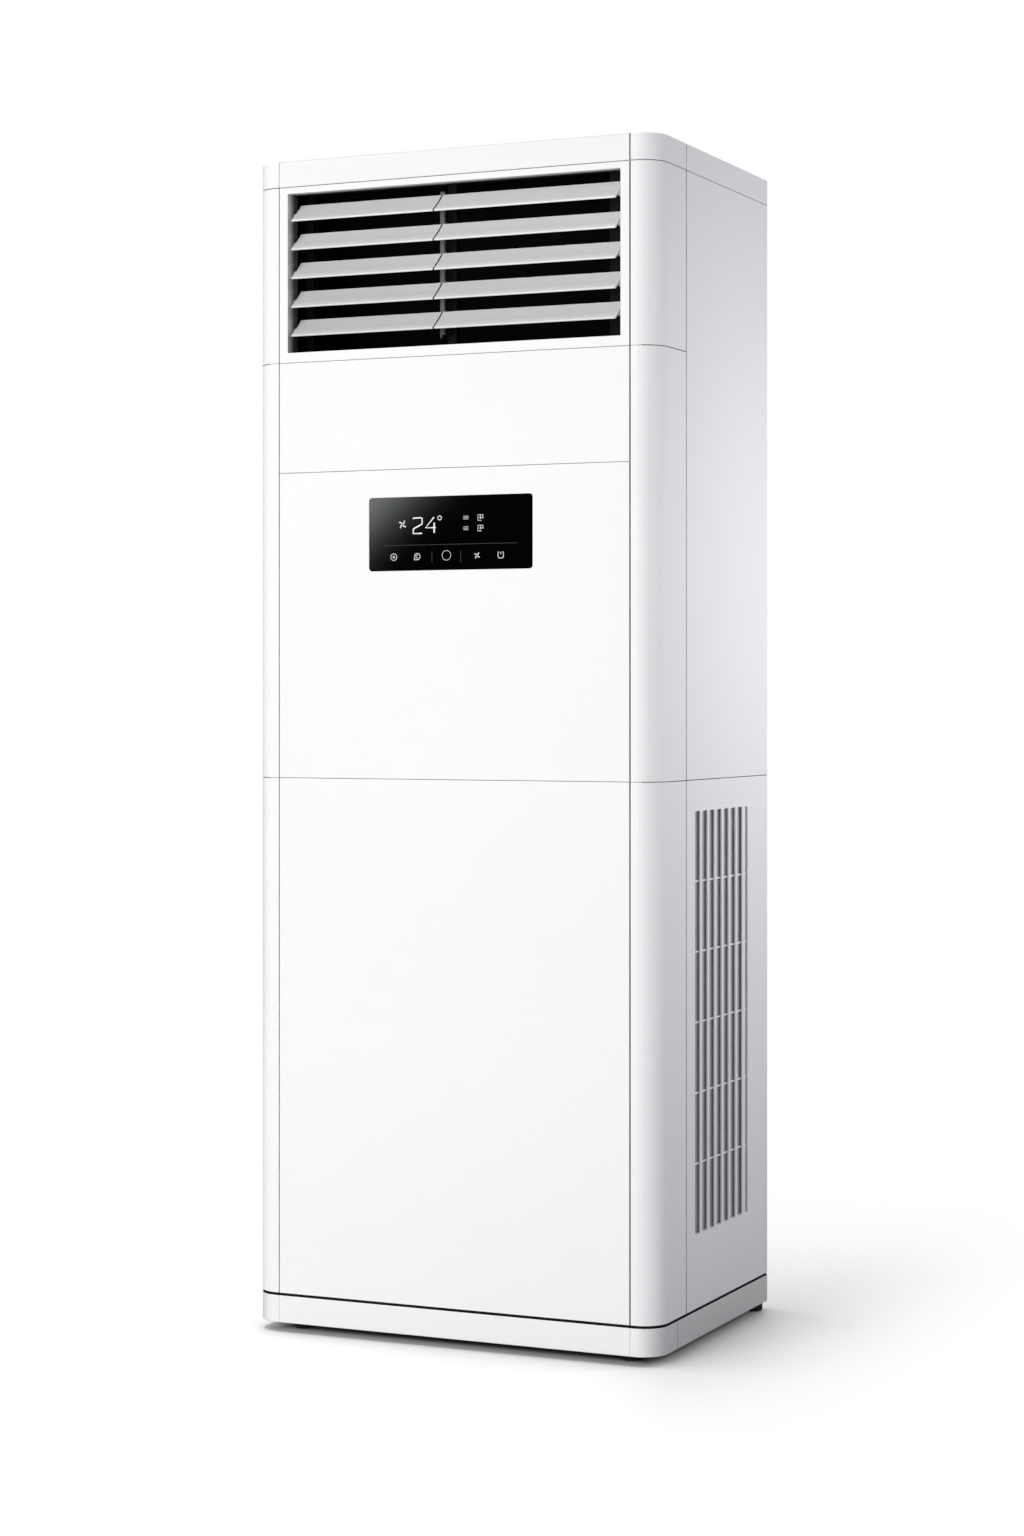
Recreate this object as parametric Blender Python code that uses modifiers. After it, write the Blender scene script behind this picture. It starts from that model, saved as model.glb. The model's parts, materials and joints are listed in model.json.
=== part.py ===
"""Floor standing air conditioner, a cabinet indoor unit, at its real size.

Metres, +Z up, the front faces -Y. The origin is the middle of the footprint, on the floor.
"""

import math

import bmesh
import bpy
from mathutils import Matrix, Vector

# Plan of the cabinet
WIDTH = 0.654
DEPTH = 0.464
FRONT_RADIUS = 0.038
REAR_RADIUS = 0.012
POST_FACE = 0.0436
POST_SIDE = 0.109
REAR_FACE = 0.022
BASE_SPLIT = 0.0733
BASE_SEAM = 0.0005

# Storeys, from the floor up
FOOT_HEIGHT = 0.014
BASE_HEIGHT = 0.041
SHADOW_GAP = 0.003
LOWER_HEIGHT = 0.771
CONTROL_HEIGHT = 0.455
FASCIA_HEIGHT = 0.1645
CAP_HEIGHT = 0.039

# Walls, seams and seats
SHELL = 0.002
FACE = 0.003
PANEL_DEPTH = 0.016
SIDE_FLANGE = 0.012
LIP = 0.008
SEAM = 0.0012
LEVEL_SEAM = 0.0006
SEAT = 0.0003
EDGE = 0.0008

# Base pan, top cover and trims
PAN_SHEET = 0.0015
PAN_RISE = 0.002
PAN_FLANGE = 0.018
TRIM_LIP = 0.012
TRIM_EDGE = 0.0016
SKIRT_EDGE = 0.0010

# Feet
FOOT_RADIUS = 0.013
FOOT_CHAMFER = 0.002
FOOT_FROM_SIDE = {"front": 0.061, "rear": 0.018}
FOOT_FROM_FRONT = 0.043
FOOT_FROM_REAR = 0.020

# Display
DISPLAY_WIDTH = 0.264
DISPLAY_HEIGHT = 0.108
DISPLAY_POCKET = 0.002
DISPLAY_RADIUS = 0.005
DISPLAY_RECESS = 0.0003
DISPLAY_EDGE = 0.0003
DISPLAY_DROP = 0.041

# Air outlet and its tilting louvers
OUTLET_SIDE = 0.0139
OUTLET_BELOW = 0.015
OUTLET_ABOVE = 0.0097
REVEAL_DEPTH = 0.031
LOUVER_COUNT = 5
LOUVER_PITCH = 0.043
LOUVER_BELOW = 0.0345
LOUVER_ABOVE = 0.0313
LOUVER_CHORD = 0.0425
LOUVER_NOSE = 0.0014
LOUVER_TAIL = 0.0008
LOUVER_SAG = 0.001
LOUVER_RAISE = 0.006
LOUVER_PIVOT_DEPTH = 0.0222
LOUVER_REST_DEG = 41.0
LOUVER_END_GAPS = {"left": 0.005, "right": 0.0087}
LOUVER_SPLIT_X = -0.028
LOUVER_SPLIT_GAP = 0.0018
RIB = 0.002
BOSS_RADIUS = 0.005
PIN_RADIUS = 0.003
PIN_CLEARANCE = 0.0003
PIN_OVERRUN = 0.001

# Link that tilts the louvers together
LINK_WIDTH = 0.007
LINK_DEPTH = 0.006
LINK_SIDE_GAP = 0.0005
LINK_PIN_RADIUS = 0.002
LINK_REACH = 0.012
LINK_DROP = 0.010
LINK_ABOVE = 0.0074
LINK_BELOW = 0.037
HOOK_WIDTH = 0.0024
HOOK_HEIGHT = 0.0045

# Air duct behind the louvers, and the struts in it
DUCT_WALL = 0.002
DUCT_CLEARANCE = 0.006
DUCT_HEAD = 0.0117
DUCT_DEPTH = 0.155
DUCT_CURVE = 0.095
DUCT_LIP_REVEAL = 0.0004
THROAT_BEHIND = 0.104
THROAT_BORDER = 0.012
STRUT_BEHIND = 0.0355
STRUT_FLANGE = 0.014
STRUT_WALL = 0.0015
STRUT_WIDTHS = {"left": 0.013, "centre": 0.014, "right": 0.050}

# Side air intakes
SLOT_COUNT = 7
SLOT_PITCH = 0.0296
SLOT_WIDTH = 0.0215
SLOT_START = 0.1433
SLOT_BELOW = 0.1075
SLOT_ABOVE = 0.0452
SLOT_RADIUS = 0.0038
NARROW_SLOT_WIDTH = 0.0112
NARROW_SLOT_SKIP = 0.004
RIB_SPANS = 6
RIB_HEIGHT = 0.0024
RIB_DEPTH = 0.002
RIB_FRAME = 0.006
FILTER_BORDER = 0.004
FILTER_THICKNESS = 0.006

# Pressings, screw dimples and the pipe knock-out of the rear panels
BEAD_COUNT = 3
BEAD_WIDTH = 0.070
BEAD_BORDER = 0.055
BEAD_DEPTH = 0.0012
BEAD_SLOPE = 0.003
KNOCKOUT_RADIUS = 0.036
KNOCKOUT_X = 0.215
KNOCKOUT_Z = 0.100
DIMPLE_RADIUS = 0.0055
DIMPLE_SLOPE = 0.0010
DIMPLE_FROM_EDGE = 0.012
DIMPLE_ROWS = 3

# Fineness of round stretches
CORNER_STEPS = 9
FILLET_STEPS = 2
SLOT_STEPS = 3
ROUND_STEPS = 16
PIN_STEPS = 12
BLADE_STEPS = 4
BOSS_STEPS = 4

FRONT_Y = -DEPTH / 2
REAR_Y = DEPTH / 2
SIDE_X = WIDTH / 2
SEAM_X = SIDE_X - POST_FACE
SIDE_SEAM_Y = FRONT_Y + POST_SIDE
REAR_SEAM_X = SIDE_X - REAR_FACE
PANEL_HALF = SEAM_X - SEAM / 2

BASE_BOTTOM = FOOT_HEIGHT
BASE_TOP = BASE_BOTTOM + BASE_HEIGHT
LOWER_BOTTOM = BASE_TOP + SHADOW_GAP
LOWER_TOP = LOWER_BOTTOM + LOWER_HEIGHT
CONTROL_TOP = LOWER_TOP + CONTROL_HEIGHT
FASCIA_TOP = CONTROL_TOP + FASCIA_HEIGHT
OPENING_BOTTOM = FASCIA_TOP + OUTLET_BELOW
LOUVER_LOWEST = OPENING_BOTTOM + LOUVER_BELOW
LOUVER_HIGHEST = LOUVER_LOWEST + (LOUVER_COUNT - 1) * LOUVER_PITCH
OPENING_TOP = LOUVER_HIGHEST + LOUVER_ABOVE
OUTLET_TOP = OPENING_TOP + OUTLET_ABOVE
TOP = OUTLET_TOP + CAP_HEIGHT
OPENING_HALF = PANEL_HALF - OUTLET_SIDE

LOUVER_LEFT = LOUVER_END_GAPS["left"] - OPENING_HALF
LOUVER_RIGHT = OPENING_HALF - LOUVER_END_GAPS["right"]
SPLIT_LEFT = LOUVER_SPLIT_X - LOUVER_SPLIT_GAP / 2
SPLIT_RIGHT = LOUVER_SPLIT_X + LOUVER_SPLIT_GAP / 2
LINK_X = SPLIT_LEFT - RIB - LINK_SIDE_GAP - LINK_WIDTH / 2

DUCT_HALF = OPENING_HALF + DUCT_CLEARANCE
DUCT_FLOOR = OPENING_BOTTOM - DUCT_HEAD
DUCT_CEILING = OPENING_TOP + DUCT_HEAD
DUCT_FRONT = FRONT_Y + REVEAL_DEPTH + SEAT
DUCT_BACK = DUCT_FRONT + DUCT_DEPTH

INWARDS = SHELL + SEAT


def clear_scene():
    """Removes what the startup scene holds."""
    for item in list(bpy.data.objects):
        bpy.data.objects.remove(item)


def make_material(name, colour, roughness, metallic=0.0):
    """A Principled BSDF finish with one plain colour."""
    material = bpy.data.materials.new(name)
    material.use_nodes = True
    shader = material.node_tree.nodes["Principled BSDF"]
    shader.inputs["Base Color"].default_value = (*colour, 1.0)
    shader.inputs["Roughness"].default_value = roughness
    shader.inputs["Metallic"].default_value = metallic
    return material


clear_scene()
parts = bpy.data.collections.new("floor_standing_air_conditioner")
cutters = bpy.data.collections.new("cutters")
for group in (parts, cutters):
    bpy.context.scene.collection.children.link(group)

shell_white = make_material("shell_white", (0.90, 0.90, 0.905), 0.32)
louver_white = make_material("louver_white", (0.84, 0.845, 0.85), 0.38)
link_grey = make_material("link_grey", (0.55, 0.55, 0.56), 0.45)
strut_grey = make_material("strut_grey", (0.035, 0.035, 0.037), 0.5)
duct_black = make_material("duct_black", (0.012, 0.012, 0.013), 0.42)
glass_black = make_material("glass_black", (0.008, 0.008, 0.009), 0.08)
filter_grey = make_material("filter_grey", (0.13, 0.135, 0.14), 0.8)
pan_black = make_material("pan_black", (0.02, 0.02, 0.021), 0.5, 0.4)
foot_rubber = make_material("foot_rubber", (0.015, 0.015, 0.015), 0.75)


# Outlines in the plane


def fillet_path(corners):
    """Points of a path whose corners (x, y, radius) are rounded by arcs."""
    points = []
    for index, (x, y, radius) in enumerate(corners):
        here = Vector((x, y))
        ends = index in (0, len(corners) - 1)
        if ends or radius <= 0:
            points.append(here)
            continue
        before = Vector(corners[index - 1][:2]) - here
        after = Vector(corners[index + 1][:2]) - here
        turn = math.pi - before.angle(after)
        reach = radius * math.tan(turn / 2)
        start = here + before.normalized() * reach
        bisector = (before.normalized() + after.normalized()).normalized()
        centre = here + bisector * (radius / math.cos(turn / 2))
        sweep = (start - centre).angle_signed(here + after.normalized() * reach - centre)
        steps = CORNER_STEPS if radius > 2 * EDGE else FILLET_STEPS
        for step in range(steps + 1):
            points.append(centre + Matrix.Rotation(-sweep * step / steps, 2) @ (start - centre))
    return points


def arc(centre, radius, start_deg, end_deg, steps):
    """Points of an arc around a centre, from one angle to another."""
    angles = [start_deg + (end_deg - start_deg) * step / steps for step in range(steps + 1)]
    turns = [math.radians(angle) for angle in angles]
    return [centre + radius * Vector((math.cos(turn), math.sin(turn))) for turn in turns]


def offset_path(points, distance):
    """The path moved to its left by distance, with mitred corners."""
    moved = []
    for index, point in enumerate(points):
        sides = []
        if index > 0:
            sides.append((point - points[index - 1]).normalized())
        if index < len(points) - 1:
            sides.append((points[index + 1] - point).normalized())
        normals = [Vector((-side.y, side.x)) for side in sides]
        mitre = sum(normals, Vector((0.0, 0.0))).normalized()
        moved.append(point + mitre * (distance / mitre.dot(normals[0])))
    return moved


def plan_outline(inset):
    """The cabinet's plan moved inwards by inset, anticlockwise."""
    front = max(FRONT_RADIUS - inset, EDGE)
    rear = max(REAR_RADIUS - inset, EDGE)
    side, near, far = SIDE_X - inset, FRONT_Y + inset, REAR_Y - inset
    corners = [(0.0, near, 0), (side, near, front), (side, far, rear), (-side, far, rear)]
    corners += [(-side, near, front), (0.0, near, 0)]
    return fillet_path(corners)[:-1]


def rounded_rectangle(half_width, half_height, radius):
    """A rectangle with round corners, anticlockwise, around the origin."""
    corners = [(0.0, -half_height, 0), (half_width, -half_height, radius)]
    corners += [(half_width, half_height, radius), (-half_width, half_height, radius)]
    corners += [(-half_width, -half_height, radius), (0.0, -half_height, 0)]
    return fillet_path(corners)[:-1]


# Solids


def finish_mesh(name, model):
    """Turns a bmesh into a mesh with its faces pointing out, round faces smooth."""
    bmesh.ops.recalc_face_normals(model, faces=model.faces)
    mesh = bpy.data.meshes.new(name)
    model.to_mesh(mesh)
    model.free()
    mesh.shade_smooth()
    mesh.set_sharp_from_angle(angle=math.radians(35))
    return mesh


def extruded(outline, start, end, edge=0.0):
    """A bmesh of the outline in XY raised from start to end in Z, its rims rounded by edge."""
    model = bmesh.new()
    loop = [model.verts.new((point.x, point.y, start)) for point in outline]
    bottom = model.faces.new(loop)
    raised = bmesh.ops.extrude_face_region(model, geom=[bottom])["geom"]
    top = [item for item in raised if isinstance(item, bmesh.types.BMVert)]
    bmesh.ops.translate(model, verts=top, vec=(0, 0, end - start))
    if edge > 0:
        rims = [
            side
            for side in model.edges
            if side.verts[0].co.z == side.verts[1].co.z
        ]
        bmesh.ops.bevel(model, geom=rims, offset=edge, segments=2, profile=0.5, affect="EDGES")
    return model


def box(low, high):
    """A bmesh box between two corners."""
    model = bmesh.new()
    bmesh.ops.create_cube(model, size=1.0)
    low, high = Vector(low), Vector(high)
    bmesh.ops.scale(model, vec=high - low, verts=model.verts)
    bmesh.ops.translate(model, vec=(low + high) / 2, verts=model.verts)
    return model


def rod(radius, length, axis, centre=(0, 0, 0), steps=PIN_STEPS):
    """A bmesh cylinder of a length along X, Y or Z."""
    model = bmesh.new()
    bmesh.ops.create_cone(
        model, cap_ends=True, segments=steps, radius1=radius, radius2=radius, depth=length
    )
    turns = {"X": Matrix.Rotation(math.pi / 2, 3, "Y"), "Y": Matrix.Rotation(math.pi / 2, 3, "X")}
    if axis in turns:
        bmesh.ops.rotate(model, verts=model.verts, matrix=turns[axis])
    bmesh.ops.translate(model, vec=centre, verts=model.verts)
    return model


def across(outline, near, far):
    """A bmesh of an outline drawn in Y and Z, running from near to far in X."""
    model = extruded(outline, near, far)
    turn = Matrix(((0, 0, 1), (1, 0, 0), (0, 1, 0)))
    bmesh.ops.rotate(model, verts=model.verts, matrix=turn)
    return model


def tray(half_width, height, depth, face, wall):
    """A bmesh panel facing -Y with walls running back from its rim, foot at z 0, front at y 0."""
    model = box((-half_width, 0, 0), (half_width, depth, height))
    back = [side for side in model.faces if side.calc_center_median().y > depth * 0.9]
    bmesh.ops.inset_region(model, faces=back, thickness=wall, use_even_offset=True)
    hollow = bmesh.ops.extrude_discrete_faces(model, faces=back)["faces"]
    floor = list({corner for side in hollow for corner in side.verts})
    bmesh.ops.translate(model, verts=floor, vec=(0, face - depth, 0))
    rim = [edge for edge in model.edges if all(corner.co.y < EDGE for corner in edge.verts)]
    bmesh.ops.bevel(model, geom=rim, offset=EDGE, segments=2, profile=0.5, affect="EDGES")
    return model


def turned(name, profile, material, location):
    """A solid turned about Z from a profile of (radius, height) points, top to bottom."""
    model = bmesh.new()
    points = [model.verts.new((radius, 0, height)) for radius, height in profile]
    for first, second in zip(points, points[1:]):
        model.edges.new((first, second))
    mesh = bpy.data.meshes.new(name)
    model.to_mesh(mesh)
    model.free()
    item = add_object(name, mesh, material, location)
    screw = item.modifiers.new("turn", "SCREW")
    screw.steps = screw.render_steps = ROUND_STEPS
    screw.use_merge_vertices = True
    screw.merge_threshold = 0.0001
    return item


def mirrored(model):
    """The bmesh turned over to the other side of X = 0."""
    bmesh.ops.scale(model, vec=(-1, 1, 1), verts=model.verts)
    bmesh.ops.reverse_faces(model, faces=model.faces)
    return model


# Objects


def add_object(name, mesh, material, location=(0, 0, 0), group=parts):
    """A named object with its own mesh and finish."""
    item = bpy.data.objects.new(name, mesh)
    item.location = location
    if material:
        mesh.materials.append(material)
    group.objects.link(item)
    return item


def add_solid(name, model, material, location=(0, 0, 0)):
    """An object made from a bmesh."""
    return add_object(name, finish_mesh(name, model), material, location)


def add_cutter(name, model, location=(0, 0, 0)):
    """A solid that only shapes others: wire in the viewport, left out of the render."""
    item = add_object(name, finish_mesh(name, model), None, location, cutters)
    item.hide_render = True
    item.display_type = "WIRE"
    return item


def shape_with(item, other, operation):
    """Joins another solid to the item, or cuts it away."""
    boolean = item.modifiers.new(other.name, "BOOLEAN")
    boolean.operation = operation
    boolean.solver = "EXACT"
    boolean.object = other


def merged_mesh(name, models):
    """One mesh from several overlapping bmesh solids."""
    pieces = [add_cutter(f"{name}_piece_{index}", model) for index, model in enumerate(models)]
    body = pieces[0]
    for other in pieces[1:]:
        shape_with(body, other, "UNION")
    bpy.context.view_layer.update()
    graph = bpy.context.evaluated_depsgraph_get()
    mesh = bpy.data.meshes.new_from_object(body.evaluated_get(graph))
    mesh.name = name
    for piece in pieces:
        bpy.data.objects.remove(piece)
    return mesh


def ring_areas(names, split, gap):
    """Plan areas that part a ring round the cabinet: front, left and right corner, rear."""
    reach = WIDTH + DEPTH
    front = FRONT_Y - reach
    areas = [
        ((-SEAM_X + gap, front), (SEAM_X - gap, split - gap)),
        ((-reach, front), (-SEAM_X - gap, split - gap)),
        ((SEAM_X + gap, front), (reach, split - gap)),
        ((-reach, split + gap), (reach, REAR_Y + reach)),
    ]
    return zip(names, areas)


# Base


def make_base():
    """The black steel pan, the skirts and corners around it and the four feet under it."""
    bottom = BASE_BOTTOM + PAN_RISE
    deck = LOWER_BOTTOM - SEAT
    pan = add_solid("base_pan", extruded(plan_outline(INWARDS), bottom, deck), pan_black)
    inner = plan_outline(INWARDS + PAN_SHEET)
    hollow = add_cutter("pan_hollow", extruded(inner, bottom + PAN_SHEET, deck - PAN_SHEET))
    shape_with(pan, hollow, "DIFFERENCE")
    mouth = plan_outline(INWARDS + PAN_FLANGE)
    opening = add_cutter("pan_mouth", extruded(mouth, deck - 2 * PAN_SHEET, deck + PAN_SHEET))
    shape_with(pan, opening, "DIFFERENCE")

    names = ["base_skirt_front", "base_corner_left", "base_corner_right", "base_skirt_rear"]
    for name, (near, far) in ring_areas(names, FRONT_Y + BASE_SPLIT, BASE_SEAM / 2):
        skirt = add_solid(
            name, extruded(plan_outline(0), BASE_BOTTOM, BASE_TOP, SKIRT_EDGE), shell_white
        )
        inside = extruded(plan_outline(SHELL), BASE_BOTTOM - SHELL, BASE_TOP + SHELL)
        shape_with(skirt, add_cutter(name + "_inside", inside), "DIFFERENCE")
        keep = box((*near, 0), (*far, TOP))
        shape_with(skirt, add_cutter(name + "_part", keep), "INTERSECT")

    rows = {"front": FRONT_Y + FOOT_FROM_FRONT, "rear": REAR_Y - FOOT_FROM_REAR}
    for place, y in rows.items():
        x = SIDE_X - FOOT_FROM_SIDE[place]
        for side, sign in (("left", -1), ("right", 1)):
            height = bottom - SEAT
            profile = [(0, height), (FOOT_RADIUS, height), (FOOT_RADIUS, FOOT_CHAMFER)]
            profile += [(FOOT_RADIUS - FOOT_CHAMFER, 0), (0, 0)]
            turned(f"foot_{place}_{side}", profile, foot_rubber, (sign * x, y, 0))


# Posts and side panels


def post_path():
    """Outer line of the right corner post, from the lip behind the front panels to the side lip."""
    seam = SEAM_X + SEAM / 2
    lip_y = FRONT_Y + PANEL_DEPTH + SEAT
    flange_x = SIDE_X - SIDE_FLANGE - SEAT
    return fillet_path(
        [
            (seam - SEAM - LIP, lip_y, 0),
            (seam, lip_y, 0),
            (seam, FRONT_Y, EDGE),
            (SIDE_X, FRONT_Y, FRONT_RADIUS),
            (SIDE_X, SIDE_SEAM_Y - SEAM / 2, EDGE),
            (flange_x, SIDE_SEAM_Y - SEAM / 2, 0),
            (flange_x, SIDE_SEAM_Y + SEAM / 2 + LIP, 0),
        ]
    )


def side_panel_path():
    """Outer line of the right side panel, round the rear corner to the lip of the rear panels."""
    seam = REAR_SEAM_X + SEAM / 2
    lip_y = REAR_Y - PANEL_DEPTH - SEAT
    return fillet_path(
        [
            (SIDE_X - SIDE_FLANGE, SIDE_SEAM_Y + SEAM / 2, 0),
            (SIDE_X, SIDE_SEAM_Y + SEAM / 2, EDGE),
            (SIDE_X, REAR_Y, REAR_RADIUS),
            (seam, REAR_Y, EDGE),
            (seam, lip_y, 0),
            (seam - SEAM - LIP, lip_y, 0),
        ]
    )


def folded_wall(path, bottom, top):
    """A bmesh of a wall of shell thickness along the path."""
    section = path + offset_path(path, SHELL)[::-1]
    return extruded(section, bottom, top)


def add_pair(name, make_model, material):
    """The left and right copies of a solid that is modelled on the right."""
    left = add_solid(name + "_left", mirrored(make_model()), material)
    right = add_solid(name + "_right", make_model(), material)
    return left, right


def make_posts():
    """Front corner posts, three lengths a side."""
    half = LEVEL_SEAM / 2
    lengths = {
        "lower": (LOWER_BOTTOM, LOWER_TOP - half),
        "middle": (LOWER_TOP + half, FASCIA_TOP - half),
        "upper": (FASCIA_TOP + half, OUTLET_TOP - half),
    }
    for name, (bottom, top) in lengths.items():
        add_pair(
            f"corner_post_{name}",
            lambda low=bottom, high=top: folded_wall(post_path(), low, high),
            shell_white,
        )


def slot_places():
    """Each slot's front edge in y and its width: a row of wide ones and a narrow one at the rear."""
    near = FRONT_Y + SLOT_START
    places = [(near + index * SLOT_PITCH, SLOT_WIDTH) for index in range(SLOT_COUNT)]
    return places + [(near + SLOT_COUNT * SLOT_PITCH + NARROW_SLOT_SKIP, NARROW_SLOT_WIDTH)]


def slot_area():
    """Lowest and highest y and z of the slots."""
    near = slot_places()[0][0]
    last, width = slot_places()[-1]
    return near, last + width, LOWER_BOTTOM + SLOT_BELOW, LOWER_TOP - SLOT_ABOVE


def slot_outline(near, width):
    """A slot with round corners in Y and Z."""
    _, _, low, high = slot_area()
    left, right = near + SLOT_RADIUS, near + width - SLOT_RADIUS
    foot, head = low + SLOT_RADIUS, high - SLOT_RADIUS
    outline = []
    for y, z, start in ((right, head, 0), (left, head, 90), (left, foot, 180), (right, foot, 270)):
        outline += arc(Vector((y, z)), SLOT_RADIUS, start, start + 90, SLOT_STEPS)
    return outline


def slot_cutter():
    """All intake slots of the right side as one bmesh."""
    model = bmesh.new()
    for near, width in slot_places():
        outline = slot_outline(near, width)
        loop = [model.verts.new((SIDE_X - 2 * SHELL, point.x, point.y)) for point in outline]
        raised = bmesh.ops.extrude_face_region(model, geom=[model.faces.new(loop)])["geom"]
        outer = [item for item in raised if isinstance(item, bmesh.types.BMVert)]
        bmesh.ops.translate(model, verts=outer, vec=(4 * SHELL, 0, 0))
    return model


def area_box(inner, outer, border):
    """A bmesh box behind the right side's slots, larger than their area by border."""
    near, far, low, high = slot_area()
    return box((inner, near - border, low - border), (outer, far + border, high + border))


def rib_windows(inner, outer):
    """The openings between the level ribs that stand behind the slots, as one bmesh."""
    near, far, low, high = slot_area()
    model = bmesh.new()
    pitch = (high - low) / RIB_SPANS
    for index in range(RIB_SPANS):
        corners = bmesh.ops.create_cube(model, size=1.0)["verts"]
        size = (outer - inner + 2 * RIB_DEPTH, far - near, pitch - RIB_HEIGHT)
        bmesh.ops.scale(model, vec=size, verts=corners)
        middle = ((inner + outer) / 2, (near + far) / 2, low + pitch * (index + 0.5))
        bmesh.ops.translate(model, vec=middle, verts=corners)
    return model


def make_side_panels():
    """Plain upper panels, slotted lower panels, and the ribs and filters behind their slots."""
    half = LEVEL_SEAM / 2
    add_pair(
        "side_panel_upper",
        lambda: folded_wall(side_panel_path(), LOWER_TOP + half, OUTLET_TOP - half),
        shell_white,
    )
    panels = add_pair(
        "side_panel_lower",
        lambda: folded_wall(side_panel_path(), LOWER_BOTTOM, LOWER_TOP - half),
        shell_white,
    )
    outer = SIDE_X - SHELL - SEAT
    inner = outer - RIB_DEPTH
    ribs = add_pair(
        "intake_ribs", lambda: area_box(inner, outer, RIB_FRAME), shell_white
    )
    for panel, ladder, turn in zip(panels, ribs, (mirrored, lambda model: model)):
        slots = add_cutter(panel.name + "_slots", turn(slot_cutter()))
        shape_with(panel, slots, "DIFFERENCE")
        windows = add_cutter(ladder.name + "_windows", turn(rib_windows(inner, outer)))
        shape_with(ladder, windows, "DIFFERENCE")
    back = inner - SEAT
    add_pair(
        "intake_filter",
        lambda: area_box(back - FILTER_THICKNESS, back, FILTER_BORDER),
        filter_grey,
    )


# Front panels and display


def add_front_panel(name, bottom, top):
    """A tray panel between the posts."""
    model = tray(PANEL_HALF, top - bottom, PANEL_DEPTH, FACE, SHELL)
    return add_solid(name, model, shell_white, (0, FRONT_Y, bottom))


def upright(outline, near, far, edge=0.0):
    """A bmesh of an outline drawn in X and Z, running from near to far in Y."""
    model = extruded(outline, -far, -near, edge)
    bmesh.ops.rotate(model, verts=model.verts, matrix=Matrix.Rotation(math.pi / 2, 3, "X"))
    return model


def make_front_panels():
    """Service panel, control panel with its display, and the plain fascia above it."""
    half = LEVEL_SEAM / 2
    add_front_panel("lower_front_panel", LOWER_BOTTOM, LOWER_TOP - half)
    control = add_front_panel("control_panel", LOWER_TOP + half, CONTROL_TOP - half)
    add_front_panel("fascia_panel", CONTROL_TOP + half, FASCIA_TOP - half)

    centre = (0, FRONT_Y, CONTROL_TOP - DISPLAY_DROP - DISPLAY_HEIGHT / 2)
    pocket = rounded_rectangle(
        DISPLAY_WIDTH / 2 + SEAT, DISPLAY_HEIGHT / 2 + SEAT, DISPLAY_RADIUS + SEAT
    )
    cutter = add_cutter("display_pocket", upright(pocket, -FACE, DISPLAY_POCKET), centre)
    shape_with(control, cutter, "DIFFERENCE")
    glass = rounded_rectangle(DISPLAY_WIDTH / 2, DISPLAY_HEIGHT / 2, DISPLAY_RADIUS)
    plate = upright(glass, DISPLAY_RECESS, DISPLAY_POCKET - SEAT, DISPLAY_EDGE)
    add_solid("display_glass", plate, glass_black, centre)


# Rear panels


def make_rear_panels():
    """Two tray panels at the back with beads and screw dimples, the lower with a knock-out."""
    half = LEVEL_SEAM / 2
    spans = {
        "rear_panel_lower": (LOWER_BOTTOM, LOWER_TOP - half),
        "rear_panel_upper": (LOWER_TOP + half, OUTLET_TOP - half),
    }
    width = REAR_SEAM_X - SEAM / 2
    for name, (bottom, top) in spans.items():
        model = tray(width, top - bottom, PANEL_DEPTH, FACE, SHELL)
        bmesh.ops.rotate(model, verts=model.verts, matrix=Matrix.Rotation(math.pi, 3, "Z"))
        panel = add_solid(name, model, shell_white, (0, REAR_Y, bottom))
        height = top - bottom - 2 * BEAD_BORDER
        pitch = 2 * (width - BEAD_BORDER) / BEAD_COUNT
        for index in range(BEAD_COUNT):
            x = (index - (BEAD_COUNT - 1) / 2) * pitch
            base = bottom + BEAD_BORDER
            if name == "rear_panel_lower" and x > 0:
                base += KNOCKOUT_Z + KNOCKOUT_RADIUS
            cutter = bead_cutter(top - BEAD_BORDER - base)
            spot = (x, REAR_Y - BEAD_DEPTH, base)
            shape_with(panel, add_cutter(f"{name}_bead_{index}", cutter, spot), "DIFFERENCE")
        span = top - bottom - 2 * DIMPLE_FROM_EDGE
        for index in range(2 * DIMPLE_ROWS):
            x = math.copysign(width - DIMPLE_FROM_EDGE, index % 2 - 0.5)
            z = bottom + DIMPLE_FROM_EDGE + span * (index // 2) / (DIMPLE_ROWS - 1)
            cutter = add_cutter(f"{name}_dimple_{index}", dimple_cutter(), (x, REAR_Y, z))
            shape_with(panel, cutter, "DIFFERENCE")
    ring = rod(KNOCKOUT_RADIUS, 2 * BEAD_DEPTH, "Y", steps=2 * ROUND_STEPS)
    spot = (KNOCKOUT_X, REAR_Y, LOWER_BOTTOM + KNOCKOUT_Z)
    disc = add_cutter("knockout", ring, spot)
    shape_with(bpy.data.objects["rear_panel_lower"], disc, "DIFFERENCE")


def dimple_cutter():
    """A bmesh that presses one round dimple for a screw, its wall sloping."""
    model = bmesh.new()
    bmesh.ops.create_cone(
        model,
        cap_ends=True,
        segments=ROUND_STEPS,
        radius1=DIMPLE_RADIUS + DIMPLE_SLOPE,
        radius2=DIMPLE_RADIUS - DIMPLE_SLOPE,
        depth=2 * BEAD_DEPTH,
    )
    bmesh.ops.rotate(model, verts=model.verts, matrix=Matrix.Rotation(math.pi / 2, 3, "X"))
    return model


def bead_cutter(height):
    """A bmesh that presses one upright bead, its walls sloping."""
    model = box((-BEAD_WIDTH / 2, 0, 0), (BEAD_WIDTH / 2, 2 * BEAD_DEPTH, height))
    outer = [corner for corner in model.verts if corner.co.y > BEAD_DEPTH]
    for corner in outer:
        corner.co.x += math.copysign(BEAD_SLOPE, corner.co.x)
        corner.co.z += math.copysign(BEAD_SLOPE, corner.co.z - height / 2)
    return model


# Top


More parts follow.
